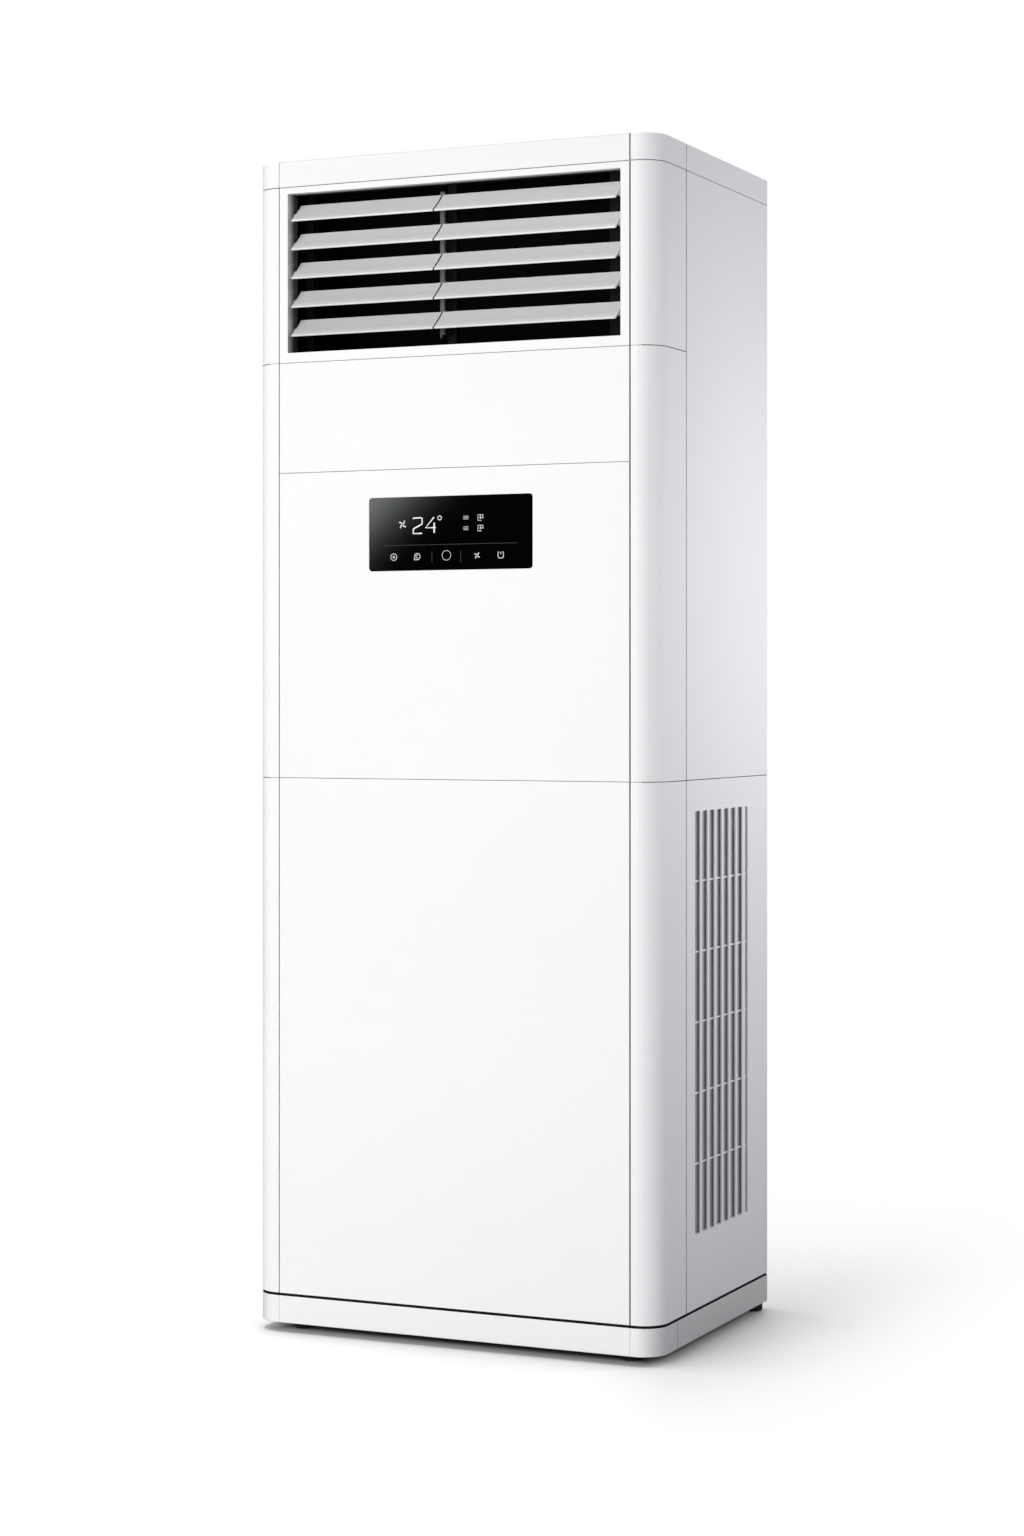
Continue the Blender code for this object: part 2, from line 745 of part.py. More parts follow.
def make_top():
    """The top cover, an upturned pan, and the trims around it."""
    low = OUTLET_TOP - LEVEL_SEAM / 2 + SEAT
    high = TOP - SHELL - SEAT
    cover = add_solid("top_cover", extruded(plan_outline(INWARDS), low, high), shell_white)
    inner = plan_outline(INWARDS + PAN_SHEET)
    hollow = add_cutter("cover_hollow", extruded(inner, low + PAN_SHEET, high - PAN_SHEET))
    shape_with(cover, hollow, "DIFFERENCE")
    mouth = plan_outline(INWARDS + PAN_FLANGE)
    opening = add_cutter("cover_mouth", extruded(mouth, low - PAN_SHEET, low + 2 * PAN_SHEET))
    shape_with(cover, opening, "DIFFERENCE")

    bottom = OUTLET_TOP + LEVEL_SEAM / 2
    names = ["top_trim_front", "top_corner_left", "top_corner_right", "top_trim_rear"]
    for name, (near, far) in ring_areas(names, SIDE_SEAM_Y, SEAM / 2):
        model = extruded(plan_outline(0), bottom, TOP, TRIM_EDGE)
        trim = add_solid(name, model, shell_white)
        inside = extruded(plan_outline(SHELL), bottom - SHELL, TOP - SHELL)
        shape_with(trim, add_cutter(name + "_inside", inside), "DIFFERENCE")
        window = extruded(plan_outline(SHELL + TRIM_LIP), TOP - 2 * SHELL, TOP + SHELL)
        shape_with(trim, add_cutter(name + "_window", window), "DIFFERENCE")
        keep = box((*near, 0), (*far, 2 * TOP))
        shape_with(trim, add_cutter(name + "_part", keep), "INTERSECT")


# Air outlet


def louver_heights():
    """Heights of the louver pivots, lowest first."""
    return [LOUVER_LOWEST + index * LOUVER_PITCH for index in range(LOUVER_COUNT)]


def make_outlet_frame():
    """The outlet's surround: a tray with a reveal running back from the opening."""
    half = LEVEL_SEAM / 2
    frame = add_front_panel("outlet_frame", FASCIA_TOP + half, OUTLET_TOP - half)
    reveal = add_cutter(
        "reveal",
        box(
            (-OPENING_HALF - SHELL, FRONT_Y + FACE / 2, OPENING_BOTTOM - SHELL),
            (OPENING_HALF + SHELL, FRONT_Y + REVEAL_DEPTH, OPENING_TOP + SHELL),
        ),
    )
    shape_with(frame, reveal, "UNION")
    opening = add_cutter(
        "outlet_opening",
        box(
            (-OPENING_HALF, FRONT_Y - SHELL, OPENING_BOTTOM),
            (OPENING_HALF, FRONT_Y + REVEAL_DEPTH + SHELL, OPENING_TOP),
        ),
    )
    shape_with(frame, opening, "DIFFERENCE")
    for index, height in enumerate(louver_heights()):
        for sign in (-1, 1):
            centre = (sign * OPENING_HALF, FRONT_Y + LOUVER_PIVOT_DEPTH, height)
            hole = rod(PIN_RADIUS + PIN_CLEARANCE, 4 * SHELL, "X", centre)
            cutter = add_cutter(f"pivot_hole_{index}_{sign}", hole)
            shape_with(frame, cutter, "DIFFERENCE")


def make_duct():
    """The black scoop behind the louvers that turns the air forwards."""
    outer_half = DUCT_HALF + DUCT_WALL
    duct = add_solid(
        "discharge_duct", duct_block(outer_half, DUCT_WALL, DUCT_FRONT), duct_black
    )
    hollow = duct_block(DUCT_HALF, 0.0, DUCT_FRONT + DUCT_WALL)
    shape_with(duct, add_cutter("duct_hollow", hollow), "DIFFERENCE")
    mouth = box(
        (
            -OPENING_HALF - DUCT_LIP_REVEAL,
            DUCT_FRONT - DUCT_WALL,
            OPENING_BOTTOM - DUCT_LIP_REVEAL,
        ),
        (
            OPENING_HALF + DUCT_LIP_REVEAL,
            DUCT_FRONT + 2 * DUCT_WALL,
            OPENING_TOP + DUCT_LIP_REVEAL,
        ),
    )
    shape_with(duct, add_cutter("duct_mouth", mouth), "DIFFERENCE")
    throat = box(
        (THROAT_BORDER - DUCT_HALF, DUCT_FRONT + THROAT_BEHIND, DUCT_FLOOR - 2 * DUCT_WALL),
        (DUCT_HALF - THROAT_BORDER, DUCT_BACK - THROAT_BORDER, DUCT_FLOOR + DUCT_WALL),
    )
    shape_with(duct, add_cutter("throat", throat), "DIFFERENCE")


def duct_block(half_width, grow, front):
    """A bmesh of the scoop's side outline, grown by grow, drawn across the width."""
    back = DUCT_BACK + grow
    outline = fillet_path(
        [
            (front, DUCT_FLOOR - grow, 0),
            (back, DUCT_FLOOR - grow, THROAT_BORDER / 2 + grow),
            (back, DUCT_CEILING + grow, DUCT_CURVE + grow),
            (front, DUCT_CEILING + grow, 0),
        ]
    )
    return across(outline, -half_width, half_width)


def strut_path(left, right):
    """Plan of a channel that is open to the back."""
    near = DUCT_FRONT + STRUT_BEHIND
    far = near + STRUT_FLANGE
    return fillet_path(
        [(left, far, 0), (left, near, EDGE), (right, near, EDGE), (right, far, 0)]
    )


def make_struts():
    """Three uprights in the duct: at its sides and behind the seam of the louvers."""
    wall = DUCT_HALF - SEAT
    middle = STRUT_WIDTHS["centre"] / 2
    places = {
        "left": (-wall, STRUT_WIDTHS["left"] - wall),
        "centre": (LOUVER_SPLIT_X - middle, LOUVER_SPLIT_X + middle),
        "right": (wall - STRUT_WIDTHS["right"], wall),
    }
    for name, (left, right) in places.items():
        path = strut_path(left, right)
        section = path + offset_path(path, STRUT_WALL)[::-1]
        model = extruded(section, DUCT_FLOOR + SEAT, DUCT_CEILING - SEAT)
        add_solid(f"outlet_strut_{name}", model, strut_grey)


# Louvers and their link


def blade_outline():
    """Section of a louver blade: round nose, thin tail, slightly hollow, pivot at the origin."""
    upper, lower = [], []
    for step in range(BLADE_STEPS + 1):
        share = step / BLADE_STEPS
        y = (share - 0.5) * (LOUVER_CHORD - 2 * LOUVER_NOSE)
        middle = LOUVER_RAISE - LOUVER_SAG * (1 - (2 * share - 1) ** 2)
        half = LOUVER_NOSE + (LOUVER_TAIL - LOUVER_NOSE) * share
        upper.append(Vector((y, middle + half)))
        lower.append(Vector((y, middle - half)))
    nose_centre = Vector((LOUVER_NOSE - LOUVER_CHORD / 2, LOUVER_RAISE))
    nose = arc(nose_centre, LOUVER_NOSE, 90, 270, BOSS_STEPS)[1:-1]
    return lower + upper[::-1] + nose


def rib_outline():
    """Web under a blade that carries the pivot boss."""
    top = LOUVER_RAISE - LOUVER_SAG
    spread = LOUVER_CHORD / 3
    boss = arc(Vector((0, 0)), BOSS_RADIUS, 180, 360, BOSS_STEPS)
    return [Vector((-spread, top))] + boss + [Vector((spread, top))]


def link_pin_place():
    """Place of the link's pin in the louver's own Y and Z, pivot at the origin."""
    return Vector((LOUVER_CHORD / 2 + LINK_REACH, LOUVER_RAISE - LINK_DROP))


def link_rib_outline():
    """The web left of the seam, drawn out behind the blade into an ear for the link's pin."""
    eye = arc(link_pin_place(), 2 * LINK_PIN_RADIUS, -120, 60, BOSS_STEPS)
    tail = Vector((LOUVER_CHORD / 2 - LOUVER_NOSE, LOUVER_RAISE))
    return rib_outline() + eye + [tail]


def louver_mesh():
    """One louver: two blades on one shaft, webs at their ends, pivot pins and the link's ear."""
    models = [
        across(blade_outline(), LOUVER_LEFT, SPLIT_LEFT),
        across(blade_outline(), SPLIT_RIGHT, LOUVER_RIGHT),
        across(link_rib_outline(), SPLIT_LEFT - RIB, SPLIT_LEFT),
    ]
    for near in (LOUVER_LEFT, SPLIT_RIGHT, LOUVER_RIGHT - RIB):
        models.append(across(rib_outline(), near, near + RIB))
    shaft = RIB + LOUVER_SPLIT_GAP
    models.append(rod(PIN_RADIUS, shaft, "X", (LOUVER_SPLIT_X, 0, 0)))
    for side, sign in (("left", -1), ("right", 1)):
        reach = LOUVER_END_GAPS[side] + RIB / 2
        start = sign * (OPENING_HALF - reach)
        collar, pin = reach - SEAT, reach + SHELL + PIN_OVERRUN
        for radius, length in ((BOSS_RADIUS - RIB / 4, collar), (PIN_RADIUS, pin)):
            centre = (start + sign * length / 2, 0, 0)
            models.append(rod(radius, length, "X", centre))
    place = link_pin_place()
    length = RIB / 2 + LINK_SIDE_GAP + LINK_WIDTH + PIN_OVERRUN
    centre = (SPLIT_LEFT - RIB / 2 - length / 2, place.x, place.y)
    models.append(rod(LINK_PIN_RADIUS, length, "X", centre))
    return merged_mesh("louver", models)


def link_bar():
    """The upright bar, the highest pin at its origin, with a hook at its foot."""
    foot = -(LOUVER_COUNT - 1) * LOUVER_PITCH - LINK_BELOW
    outline = rounded_rectangle(
        LINK_DEPTH / 2, (LINK_ABOVE - foot) / 2, LINK_DEPTH / 2 - EDGE
    )
    model = across(outline, -LINK_WIDTH / 2, LINK_WIDTH / 2)
    bmesh.ops.translate(model, verts=model.verts, vec=(0, 0, (LINK_ABOVE + foot) / 2))
    notch = box(
        (HOOK_WIDTH - LINK_WIDTH / 2, -LINK_DEPTH, foot - HOOK_HEIGHT),
        (LINK_WIDTH, LINK_DEPTH, foot + HOOK_HEIGHT),
    )
    return model, notch


def make_louvers():
    """The louvers, the highest numbered first, and the link behind them."""
    mesh = louver_mesh()
    mesh.materials.clear()
    mesh.materials.append(louver_white)
    tilt = math.radians(LOUVER_REST_DEG)
    heights = louver_heights()[::-1]
    for index, height in enumerate(heights):
        louver = bpy.data.objects.new(f"louver_{index + 1}", mesh)
        louver.location = (0, FRONT_Y + LOUVER_PIVOT_DEPTH, height)
        louver.rotation_euler = (tilt, 0, 0)
        parts.objects.link(louver)
    place = Matrix.Rotation(tilt, 2) @ link_pin_place()
    spot = (LINK_X, FRONT_Y + LOUVER_PIVOT_DEPTH + place.x, heights[0] + place.y)
    bar, notch = link_bar()
    link = add_solid("louver_link", bar, link_grey, spot)
    shape_with(link, add_cutter("link_notch", notch, spot), "DIFFERENCE")
    for index in range(LOUVER_COUNT):
        hole = rod(LINK_PIN_RADIUS + PIN_CLEARANCE, 2 * LINK_WIDTH, "X")
        centre = (spot[0], spot[1], spot[2] - index * LOUVER_PITCH)
        shape_with(link, add_cutter(f"link_hole_{index}", hole, centre), "DIFFERENCE")


make_base()
make_posts()
make_side_panels()
make_front_panels()
make_rear_panels()
make_top()
make_outlet_frame()
make_duct()
make_struts()
make_louvers()
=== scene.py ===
"""Floor standing air conditioner: finishes, display marks, screws, studio and camera.

Metres, +Z up, the front faces -Y. The origin is the middle of the footprint, on the floor.
"""

from __future__ import annotations

import json
import logging
import math
from collections.abc import Callable, Iterable, Iterator
from contextlib import contextmanager
from dataclasses import dataclass, field
from enum import Enum

import bmesh
import bpy
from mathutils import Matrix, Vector

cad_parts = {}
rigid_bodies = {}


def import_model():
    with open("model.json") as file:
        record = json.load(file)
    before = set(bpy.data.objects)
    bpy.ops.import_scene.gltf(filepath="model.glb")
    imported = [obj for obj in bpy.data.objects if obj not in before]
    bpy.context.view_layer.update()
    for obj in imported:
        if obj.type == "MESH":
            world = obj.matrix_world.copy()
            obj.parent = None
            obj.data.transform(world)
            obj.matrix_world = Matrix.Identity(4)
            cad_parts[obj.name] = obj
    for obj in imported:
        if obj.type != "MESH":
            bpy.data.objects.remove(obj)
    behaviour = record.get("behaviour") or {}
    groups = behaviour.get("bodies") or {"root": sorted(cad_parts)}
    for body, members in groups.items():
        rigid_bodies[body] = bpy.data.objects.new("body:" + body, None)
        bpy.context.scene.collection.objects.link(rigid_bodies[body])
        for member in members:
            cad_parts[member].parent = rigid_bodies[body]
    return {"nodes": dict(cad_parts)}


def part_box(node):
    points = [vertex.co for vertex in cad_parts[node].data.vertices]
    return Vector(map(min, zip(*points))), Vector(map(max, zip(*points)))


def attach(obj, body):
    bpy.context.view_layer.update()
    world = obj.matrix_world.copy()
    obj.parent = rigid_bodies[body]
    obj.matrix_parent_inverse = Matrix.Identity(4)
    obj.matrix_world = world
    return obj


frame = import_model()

log = logging.getLogger("air_conditioner")

BODY = "cabinet"
LOUVERS = tuple(f"louver_{number}" for number in range(1, 6))


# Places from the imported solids


class Axis(Enum):
    """The three axes."""

    X = 0
    Y = 1
    Z = 2


def low(node: str, axis: Axis) -> float:
    """A solid's lowest coordinate along an axis, in metres."""
    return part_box(node)[0][axis.value]


def high(node: str, axis: Axis) -> float:
    """A solid's highest coordinate along an axis, in metres."""
    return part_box(node)[1][axis.value]


def seam(first: str, second: str, axis: Axis) -> float:
    """The middle of the gap between a solid and the next one along an axis."""
    return (high(first, axis) + low(second, axis)) / 2.0


FRONT_Y = low("lower_front_panel", Axis.Y)
HALF_WIDTH = high("base_skirt_rear", Axis.X)
HALF_DEPTH = high("base_skirt_rear", Axis.Y)
CAP_TOP = high("top_trim_front", Axis.Z)
CORNER = 0.038


# Shader maths


@dataclass(frozen=True)
class Signal:
    """One number, colour or vector that runs through a material's nodes."""

    graph: "Graph"
    socket: bpy.types.NodeSocket

    def combine(self, operation: str, *others: "Signal | float") -> "Signal":
        """A Math node on this value.

        Args:
            operation: the Math node's operation.
            others: the values that follow this one.

        Returns:
            The result.
        """
        inputs = dict(enumerate((self, *others)))
        return self.graph.add("ShaderNodeMath", {"operation": operation}, inputs)

    def __add__(self, other: "Signal | float") -> "Signal":
        """The sum."""
        return self.combine("ADD", other)

    __radd__ = __add__

    def __mul__(self, other: "Signal | float") -> "Signal":
        """The product."""
        return self.combine("MULTIPLY", other)

    __rmul__ = __mul__

    def __sub__(self, other: "Signal | float") -> "Signal":
        """The difference."""
        return self.combine("SUBTRACT", other)

    def __rsub__(self, other: float) -> "Signal":
        """The difference from a number."""
        inputs = {0: other, 1: self}
        return self.graph.add("ShaderNodeMath", {"operation": "SUBTRACT"}, inputs)

    def __abs__(self) -> "Signal":
        """The value without its sign."""
        return self.combine("ABSOLUTE")

    def ramp(self, start: float, end: float) -> "Signal":
        """A smooth step.

        Args:
            start: where it starts to leave 0.
            end: where it reaches 1.

        Returns:
            The stepped value.
        """
        settings = {"interpolation_type": "SMOOTHSTEP"}
        inputs = {"Value": self, "From Min": start, "From Max": end}
        return self.graph.add("ShaderNodeMapRange", settings, inputs)


Input = "Signal | float | tuple[float, ...]"
Colour = tuple[float, float, float]


@dataclass
class Graph:
    """The nodes of one material."""

    tree: bpy.types.ShaderNodeTree

    def add(
        self,
        kind: str,
        settings: dict[str, object] | None = None,
        inputs: dict[int | str, Input] | None = None,
        output: int | str = 0,
    ) -> Signal:
        """Adds a node.

        Args:
            kind: the node's type.
            settings: its properties.
            inputs: values or signals by socket.
            output: the socket that is handed on.

        Returns:
            The node's output.
        """
        node = self.tree.nodes.new(kind)
        for name, value in (settings or {}).items():
            setattr(node, name, value)
        for key, value in (inputs or {}).items():
            self.feed(node.inputs[key], value)
        return Signal(self, node.outputs[output])

    def feed(self, socket: bpy.types.NodeSocket, value: Input) -> None:
        """Sets a socket.

        Args:
            socket: the socket.
            value: a signal to link, or a plain value.
        """
        if isinstance(value, Signal):
            self.tree.links.new(value.socket, socket)
        elif isinstance(value, tuple) and len(value) == 3 and socket.type == "RGBA":
            socket.default_value = (*value, 1.0)
        else:
            socket.default_value = value

    def place(self) -> Signal:
        """The point on the piece, in its own metres."""
        return self.add("ShaderNodeTexCoord", output="Object")

    def noise(
        self, scale: float, detail: float = 2.0, stretch: Colour = (1.0, 1.0, 1.0)
    ) -> Signal:
        """Noise from 0 to 1.

        Args:
            scale: cells a metre.
            detail: finer octaves.
            stretch: cells along X, Y and Z against that.

        Returns:
            The noise.
        """
        place = self.add(
            "ShaderNodeMapping", None, {"Vector": self.place(), "Scale": stretch}
        )
        inputs = {"Vector": place, "Scale": scale, "Detail": detail}
        return self.add("ShaderNodeTexNoise", None, inputs)

    def axis(self, axis: Axis) -> Signal:
        """One coordinate of the point on the piece, in metres."""
        return self.add("ShaderNodeSeparateXYZ", None, {"Vector": self.place()}, axis.value)

    def blend(
        self, first: Colour | Signal, second: Colour | Signal, share: Signal, kind: str = "MIX"
    ) -> Signal:
        """A mix of two colours.

        Args:
            first: the colour at 0.
            second: the colour at 1.
            share: from 0 to 1.
            kind: the Mix node's way to blend.

        Returns:
            The mixed colour.
        """
        settings = {"data_type": "RGBA", "blend_type": kind}
        return self.add("ShaderNodeMix", settings, {0: share, 6: first, 7: second}, 2)

    def relief(self, height: Signal, depth: float) -> Signal:
        """A bumped normal.

        Args:
            height: from 0 to 1.
            depth: the height of a full step, in metres.

        Returns:
            The normal.
        """
        inputs = {"Strength": 1.0, "Distance": depth, "Height": height}
        return self.add("ShaderNodeBump", None, inputs)


# Finishes


LINE_SOFT = 0.0003
FOLD_SOFT = 0.0005
# painted shade: the plain black that stands in for the shadow deep in the seams
SEAM_SHADE_BLACK = (0.004, 0.004, 0.0043)


def dimmed(colour: Colour, share: float) -> Colour:
    """A colour times a share."""
    return tuple(part * share for part in colour)


@dataclass(frozen=True)
class Finish:
    """A surface finish."""

    name: str
    colour: Colour
    roughness: float = 0.4

    def material(self) -> bpy.types.Material:
        """Makes the finish's material.

        Returns:
            The material, with shade painted black and without gloss deep in the seams.
        """
        made = bpy.data.materials.new(self.name)
        made.use_nodes = True
        graph = Graph(made.node_tree)
        shader = made.node_tree.nodes["Principled BSDF"]
        graph.feed(shader.inputs["Base Color"], self.colour)
        graph.feed(shader.inputs["Roughness"], self.roughness)
        for socket, value in self.shade(graph).items():
            graph.feed(shader.inputs[socket], value)
        # painted shade: where this mask is 1 the surface turns plain black, as if in the seam's
        # shadow
        painted_seam_shade = self.painted_seam_shade(graph)
        if painted_seam_shade:
            painted = Signal(graph, shader.outputs["BSDF"])
            black = graph.add("ShaderNodeBsdfDiffuse", None, {"Color": SEAM_SHADE_BLACK}, "BSDF")
            inputs = {0: painted_seam_shade, 1: painted, 2: black}
            mixed = graph.add("ShaderNodeMixShader", None, inputs, "Shader")
            graph.feed(made.node_tree.nodes["Material Output"].inputs["Surface"], mixed)
        return made

    def painted_seam_shade(self, graph: Graph) -> Signal | None:
        """1 where shade is painted deep in a seam; None is nowhere."""
        return None

    def shade(self, graph: Graph) -> dict[str, Input]:
        """What the finish feeds to the shader's sockets."""
        raise NotImplementedError


@dataclass(frozen=True)
class SeamLine:
    """Painted shade on the rolled edges of two sheets that meet at a seam, to both sides of its
    middle.

    A line with a distance beyond which it starts lies only further out than that along X.
    """

    axis: Axis
    place: float
    reach: float
    beyond: float = 0.0

    def mask(self, graph: Graph) -> Signal:
        """Finds the line.

        Args:
            graph: the material's nodes.

        Returns:
            1 on the line and 0 off it.
        """
        # painted shade: a band along the seam that is drawn black
        off = abs(graph.axis(self.axis) - self.place)
        line = 1.0 - off.ramp(self.reach, self.reach + LINE_SOFT)
        if not self.beyond:
            return line
        outwards = abs(graph.axis(Axis.X))
        return line * outwards.ramp(self.beyond, self.beyond + FOLD_SOFT)


@dataclass(frozen=True)
class Lacquer(Finish):
    """Glossy white paint on pressed steel and moulded corners, with a fine orange peel.

    The folds in the seams get painted shade, plain black: from a distance off the middle
    (fold_from) and from a depth behind the outer face (fold_depth), up to near the back
    (fold_until), at a weaker share on the left half (left_share). Pieces without such folds leave
    fold_from at 0. The seam lines get the same painted shade.
    """

    peel_size: float = 0.0018
    peel_depth: float = 0.000012
    tint: float = 0.012
    tint_scale: float = 2.3
    wipe_scale: float = 38.0
    wipe_effect: float = 0.08
    coat: float = 0.25
    coat_roughness: float = 0.12
    fold_from: float = 0.0
    fold_depth: float = 0.0008
    fold_until: float = 0.19
    left_share: float = 0.5
    lines: tuple[SeamLine, ...] = ()
    # painted shade: the colour that the paint turns to round the corner, where the side lies in
    # shade
    flank_shade: Colour | None = None
    flank_from: float = 0.290

    @staticmethod
    def inset(graph: Graph) -> Signal:
        """Measures from the cabinet's outline with its round front corners.

        Args:
            graph: the material's nodes.

        Returns:
            How far a point lies behind the outline, in metres.
        """
        across = abs(graph.axis(Axis.X)) - (HALF_WIDTH - CORNER)
        forward = (FRONT_Y + CORNER) - graph.axis(Axis.Y)
        beside = across.combine("MAXIMUM", 0.0)
        before = forward.combine("MAXIMUM", 0.0)
        outside = (beside * beside + before * before).combine("SQRT")
        inside = across.combine("MAXIMUM", forward).combine("MINIMUM", 0.0)
        return CORNER - outside - inside

    def paint(self, graph: Graph) -> Signal:
        """Mixes the paint's colour, with painted shade round the corner onto the flank.

        Args:
            graph: the material's nodes.

        Returns:
            The colour.
        """
        slow = graph.noise(self.tint_scale, 3.0)
        darker = dimmed(self.colour, 1.0 - self.tint)
        colour = graph.blend(self.colour, darker, slow.ramp(0.35, 0.75))
        # painted shade: towards the flank the colour turns cooler or darker, as the shaded side
        # looks
        if self.flank_shade:
            turned = abs(graph.axis(Axis.X)).ramp(self.flank_from, HALF_WIDTH)
            colour = graph.blend(colour, self.flank_shade, turned)
        return colour

    def folds(self, graph: Graph) -> Signal:
        """Finds the folds in the seams, where shade is painted, at a weaker share on the left
        half.

        Args:
            graph: the material's nodes.

        Returns:
            1 in a fold and 0 off it.
        """
        outwards = abs(graph.axis(Axis.X)).ramp(self.fold_from, self.fold_from + FOLD_SOFT)
        deep = self.inset(graph).ramp(self.fold_depth, self.fold_depth + FOLD_SOFT)
        ahead = 1.0 - graph.axis(Axis.Y).ramp(self.fold_until, self.fold_until + 0.01)
        right = graph.axis(Axis.X).ramp(-0.01, 0.01)
        # painted shade: full on the right half, weaker on the left half by left_share
        return outwards * deep * ahead * (self.left_share + right * (1.0 - self.left_share))

    def painted_seam_shade(self, graph: Graph) -> Signal | None:
        """Finds the seams and their folds, where shade is painted.

        Args:
            graph: the material's nodes.

        Returns:
            1 in them and 0 off them; None is nowhere.
        """
        found = [line.mask(graph) for line in self.lines]
        if self.fold_from:
            found.append(self.folds(graph))
        if not found:
            return None
        whole = found[0]
        for mask in found[1:]:
            whole = whole.combine("MAXIMUM", mask)
        return whole

    def shade(self, graph: Graph) -> dict[str, Input]:
        """Orange peel, a slow change of tone and faint wiping marks.

        Args:
            graph: the material's nodes.

        Returns:
            The values by socket.
        """
        peel = graph.noise(1.0 / self.peel_size, 2.0)
        wiped = graph.noise(self.wipe_scale, 4.0, (1.0, 1.0, 0.35))
        return {
            "Base Color": self.paint(graph),
            "Roughness": self.roughness + (wiped - 0.5) * self.wipe_effect,
            "Normal": graph.relief(peel, self.peel_depth),
            "Coat Weight": self.coat,
            "Coat Roughness": self.coat_roughness,
        }


@dataclass(frozen=True)
class OutletLacquer(Lacquer):
    """The same paint on the outlet frame, with painted shade in its reveal, darker towards the
    duct.
    """

    # painted shade: the reveal's tone deep towards the duct, and the black shadow at the back of
    # the reveal's top
    reveal_shade_tone: Colour = (0.105, 0.108, 0.115)
    reveal_half: float = 0.2725
    reveal_depth: float = 0.022
    painted_shadow_tone: Colour = (0.012, 0.012, 0.013)
    painted_shadow_depth: float = 0.0165
    painted_shadow_height: float = 1.7005

    def paint(self, graph: Graph) -> Signal:
        """Mixes the paint, the painted shade in the reveal and the painted black shadow at the
        back of its top.

        Args:
            graph: the material's nodes.

        Returns:
            The colour.
        """
        within = 1.0 - abs(graph.axis(Axis.X)).ramp(self.reveal_half, self.reveal_half + 0.001)
        depth = graph.axis(Axis.Y) - FRONT_Y
        painted = super().paint(graph)
        inwards = depth.ramp(0.001, self.reveal_depth) * within
        shaded = graph.blend(painted, self.reveal_shade_tone, inwards)
        head = graph.axis(Axis.Z).ramp(self.painted_shadow_height, self.painted_shadow_height + 0.0005)
        behind = depth.ramp(self.painted_shadow_depth, self.painted_shadow_depth + 0.001)
        return graph.blend(shaded, self.painted_shadow_tone, behind * head * within)


@dataclass(frozen=True)
class CapLacquer(Lacquer):
    """The same paint on the cap's front, with painted shade along its rounded upper edge."""

    # painted shade: grey on the rounded upper edge, which turns away from the light
    rim_shade_tone: Colour = (0.70, 0.70, 0.705)
    rim_from: float = 0.0018
    rim_to: float = 0.0010

    def paint(self, graph: Graph) -> Signal:
        """The paint with the painted shade on the upper edge."""
        upper = graph.axis(Axis.Z).ramp(CAP_TOP - self.rim_from, CAP_TOP - self.rim_to)
        return graph.blend(super().paint(graph), self.rim_shade_tone, upper)


@dataclass(frozen=True)
class LouverPlastic(Finish):
    """Moulded pearl white plastic with faint flow lines, with painted shade in the seam between
    two blades.

    Shade is painted on the blades along their front edges and towards the lower left.
    """

    flow_scale: float = 60.0
    flow_shade: float = 0.97
    grain_scale: float = 1400.0
    grain_depth: float = 0.00001
    # painted shade: the front edges and the lower left blades darker, as light falls from above
    edge_shade: float = 0.90
    edge_depth: float = 0.036
    corner_shade: float = 0.80
    corner_across: tuple[float, float] = (-0.4, 0.3)
    corner_up: tuple[float, float] = (1.47, 1.70)
    seam_place: float = -0.028
    seam_reach: float = 0.0011
    seam_shade_tone: Colour = (0.012, 0.012, 0.013)

    def paint(self, graph: Graph) -> Signal:
        """Mixes the blades' colour.

        Args:
            graph: the material's nodes.

        Returns:
            The colour away from the seam.
        """
        flow = graph.noise(self.flow_scale, 3.0, (0.04, 1.0, 1.0))
        darker = dimmed(self.colour, self.flow_shade)
        body = graph.blend(self.colour, darker, flow.ramp(0.35, 0.7))
        inwards = (graph.axis(Axis.Y) - FRONT_Y).ramp(0.0, self.edge_depth)
        body = graph.blend(dimmed(self.colour, self.edge_shade), body, inwards)
        rightwards = graph.axis(Axis.X).ramp(*self.corner_across)
        upwards = graph.axis(Axis.Z).ramp(*self.corner_up)
        lower_left = 1.0 - (rightwards * 0.5 + upwards * 0.5)
        return graph.blend(body, dimmed(self.colour, self.corner_shade), lower_left, "MULTIPLY")

    def shade(self, graph: Graph) -> dict[str, Input]:
        """The paint, a fine grain and painted shade on the blade ends that face each other.

        Args:
            graph: the material's nodes.

        Returns:
            The values by socket.
        """
        grain = graph.noise(self.grain_scale, 1.0)
        off = abs(graph.axis(Axis.X) - self.seam_place)
        # painted shade: the blade ends at the split turn near black, as the gap's shadow
        clear = off.ramp(self.seam_reach, self.seam_reach + 0.0002)
        return {
            "Base Color": graph.blend(self.seam_shade_tone, self.paint(graph), clear),
            "Roughness": self.roughness + (grain - 0.5) * 0.1,
            "Normal": graph.relief(grain, self.grain_depth),
        }


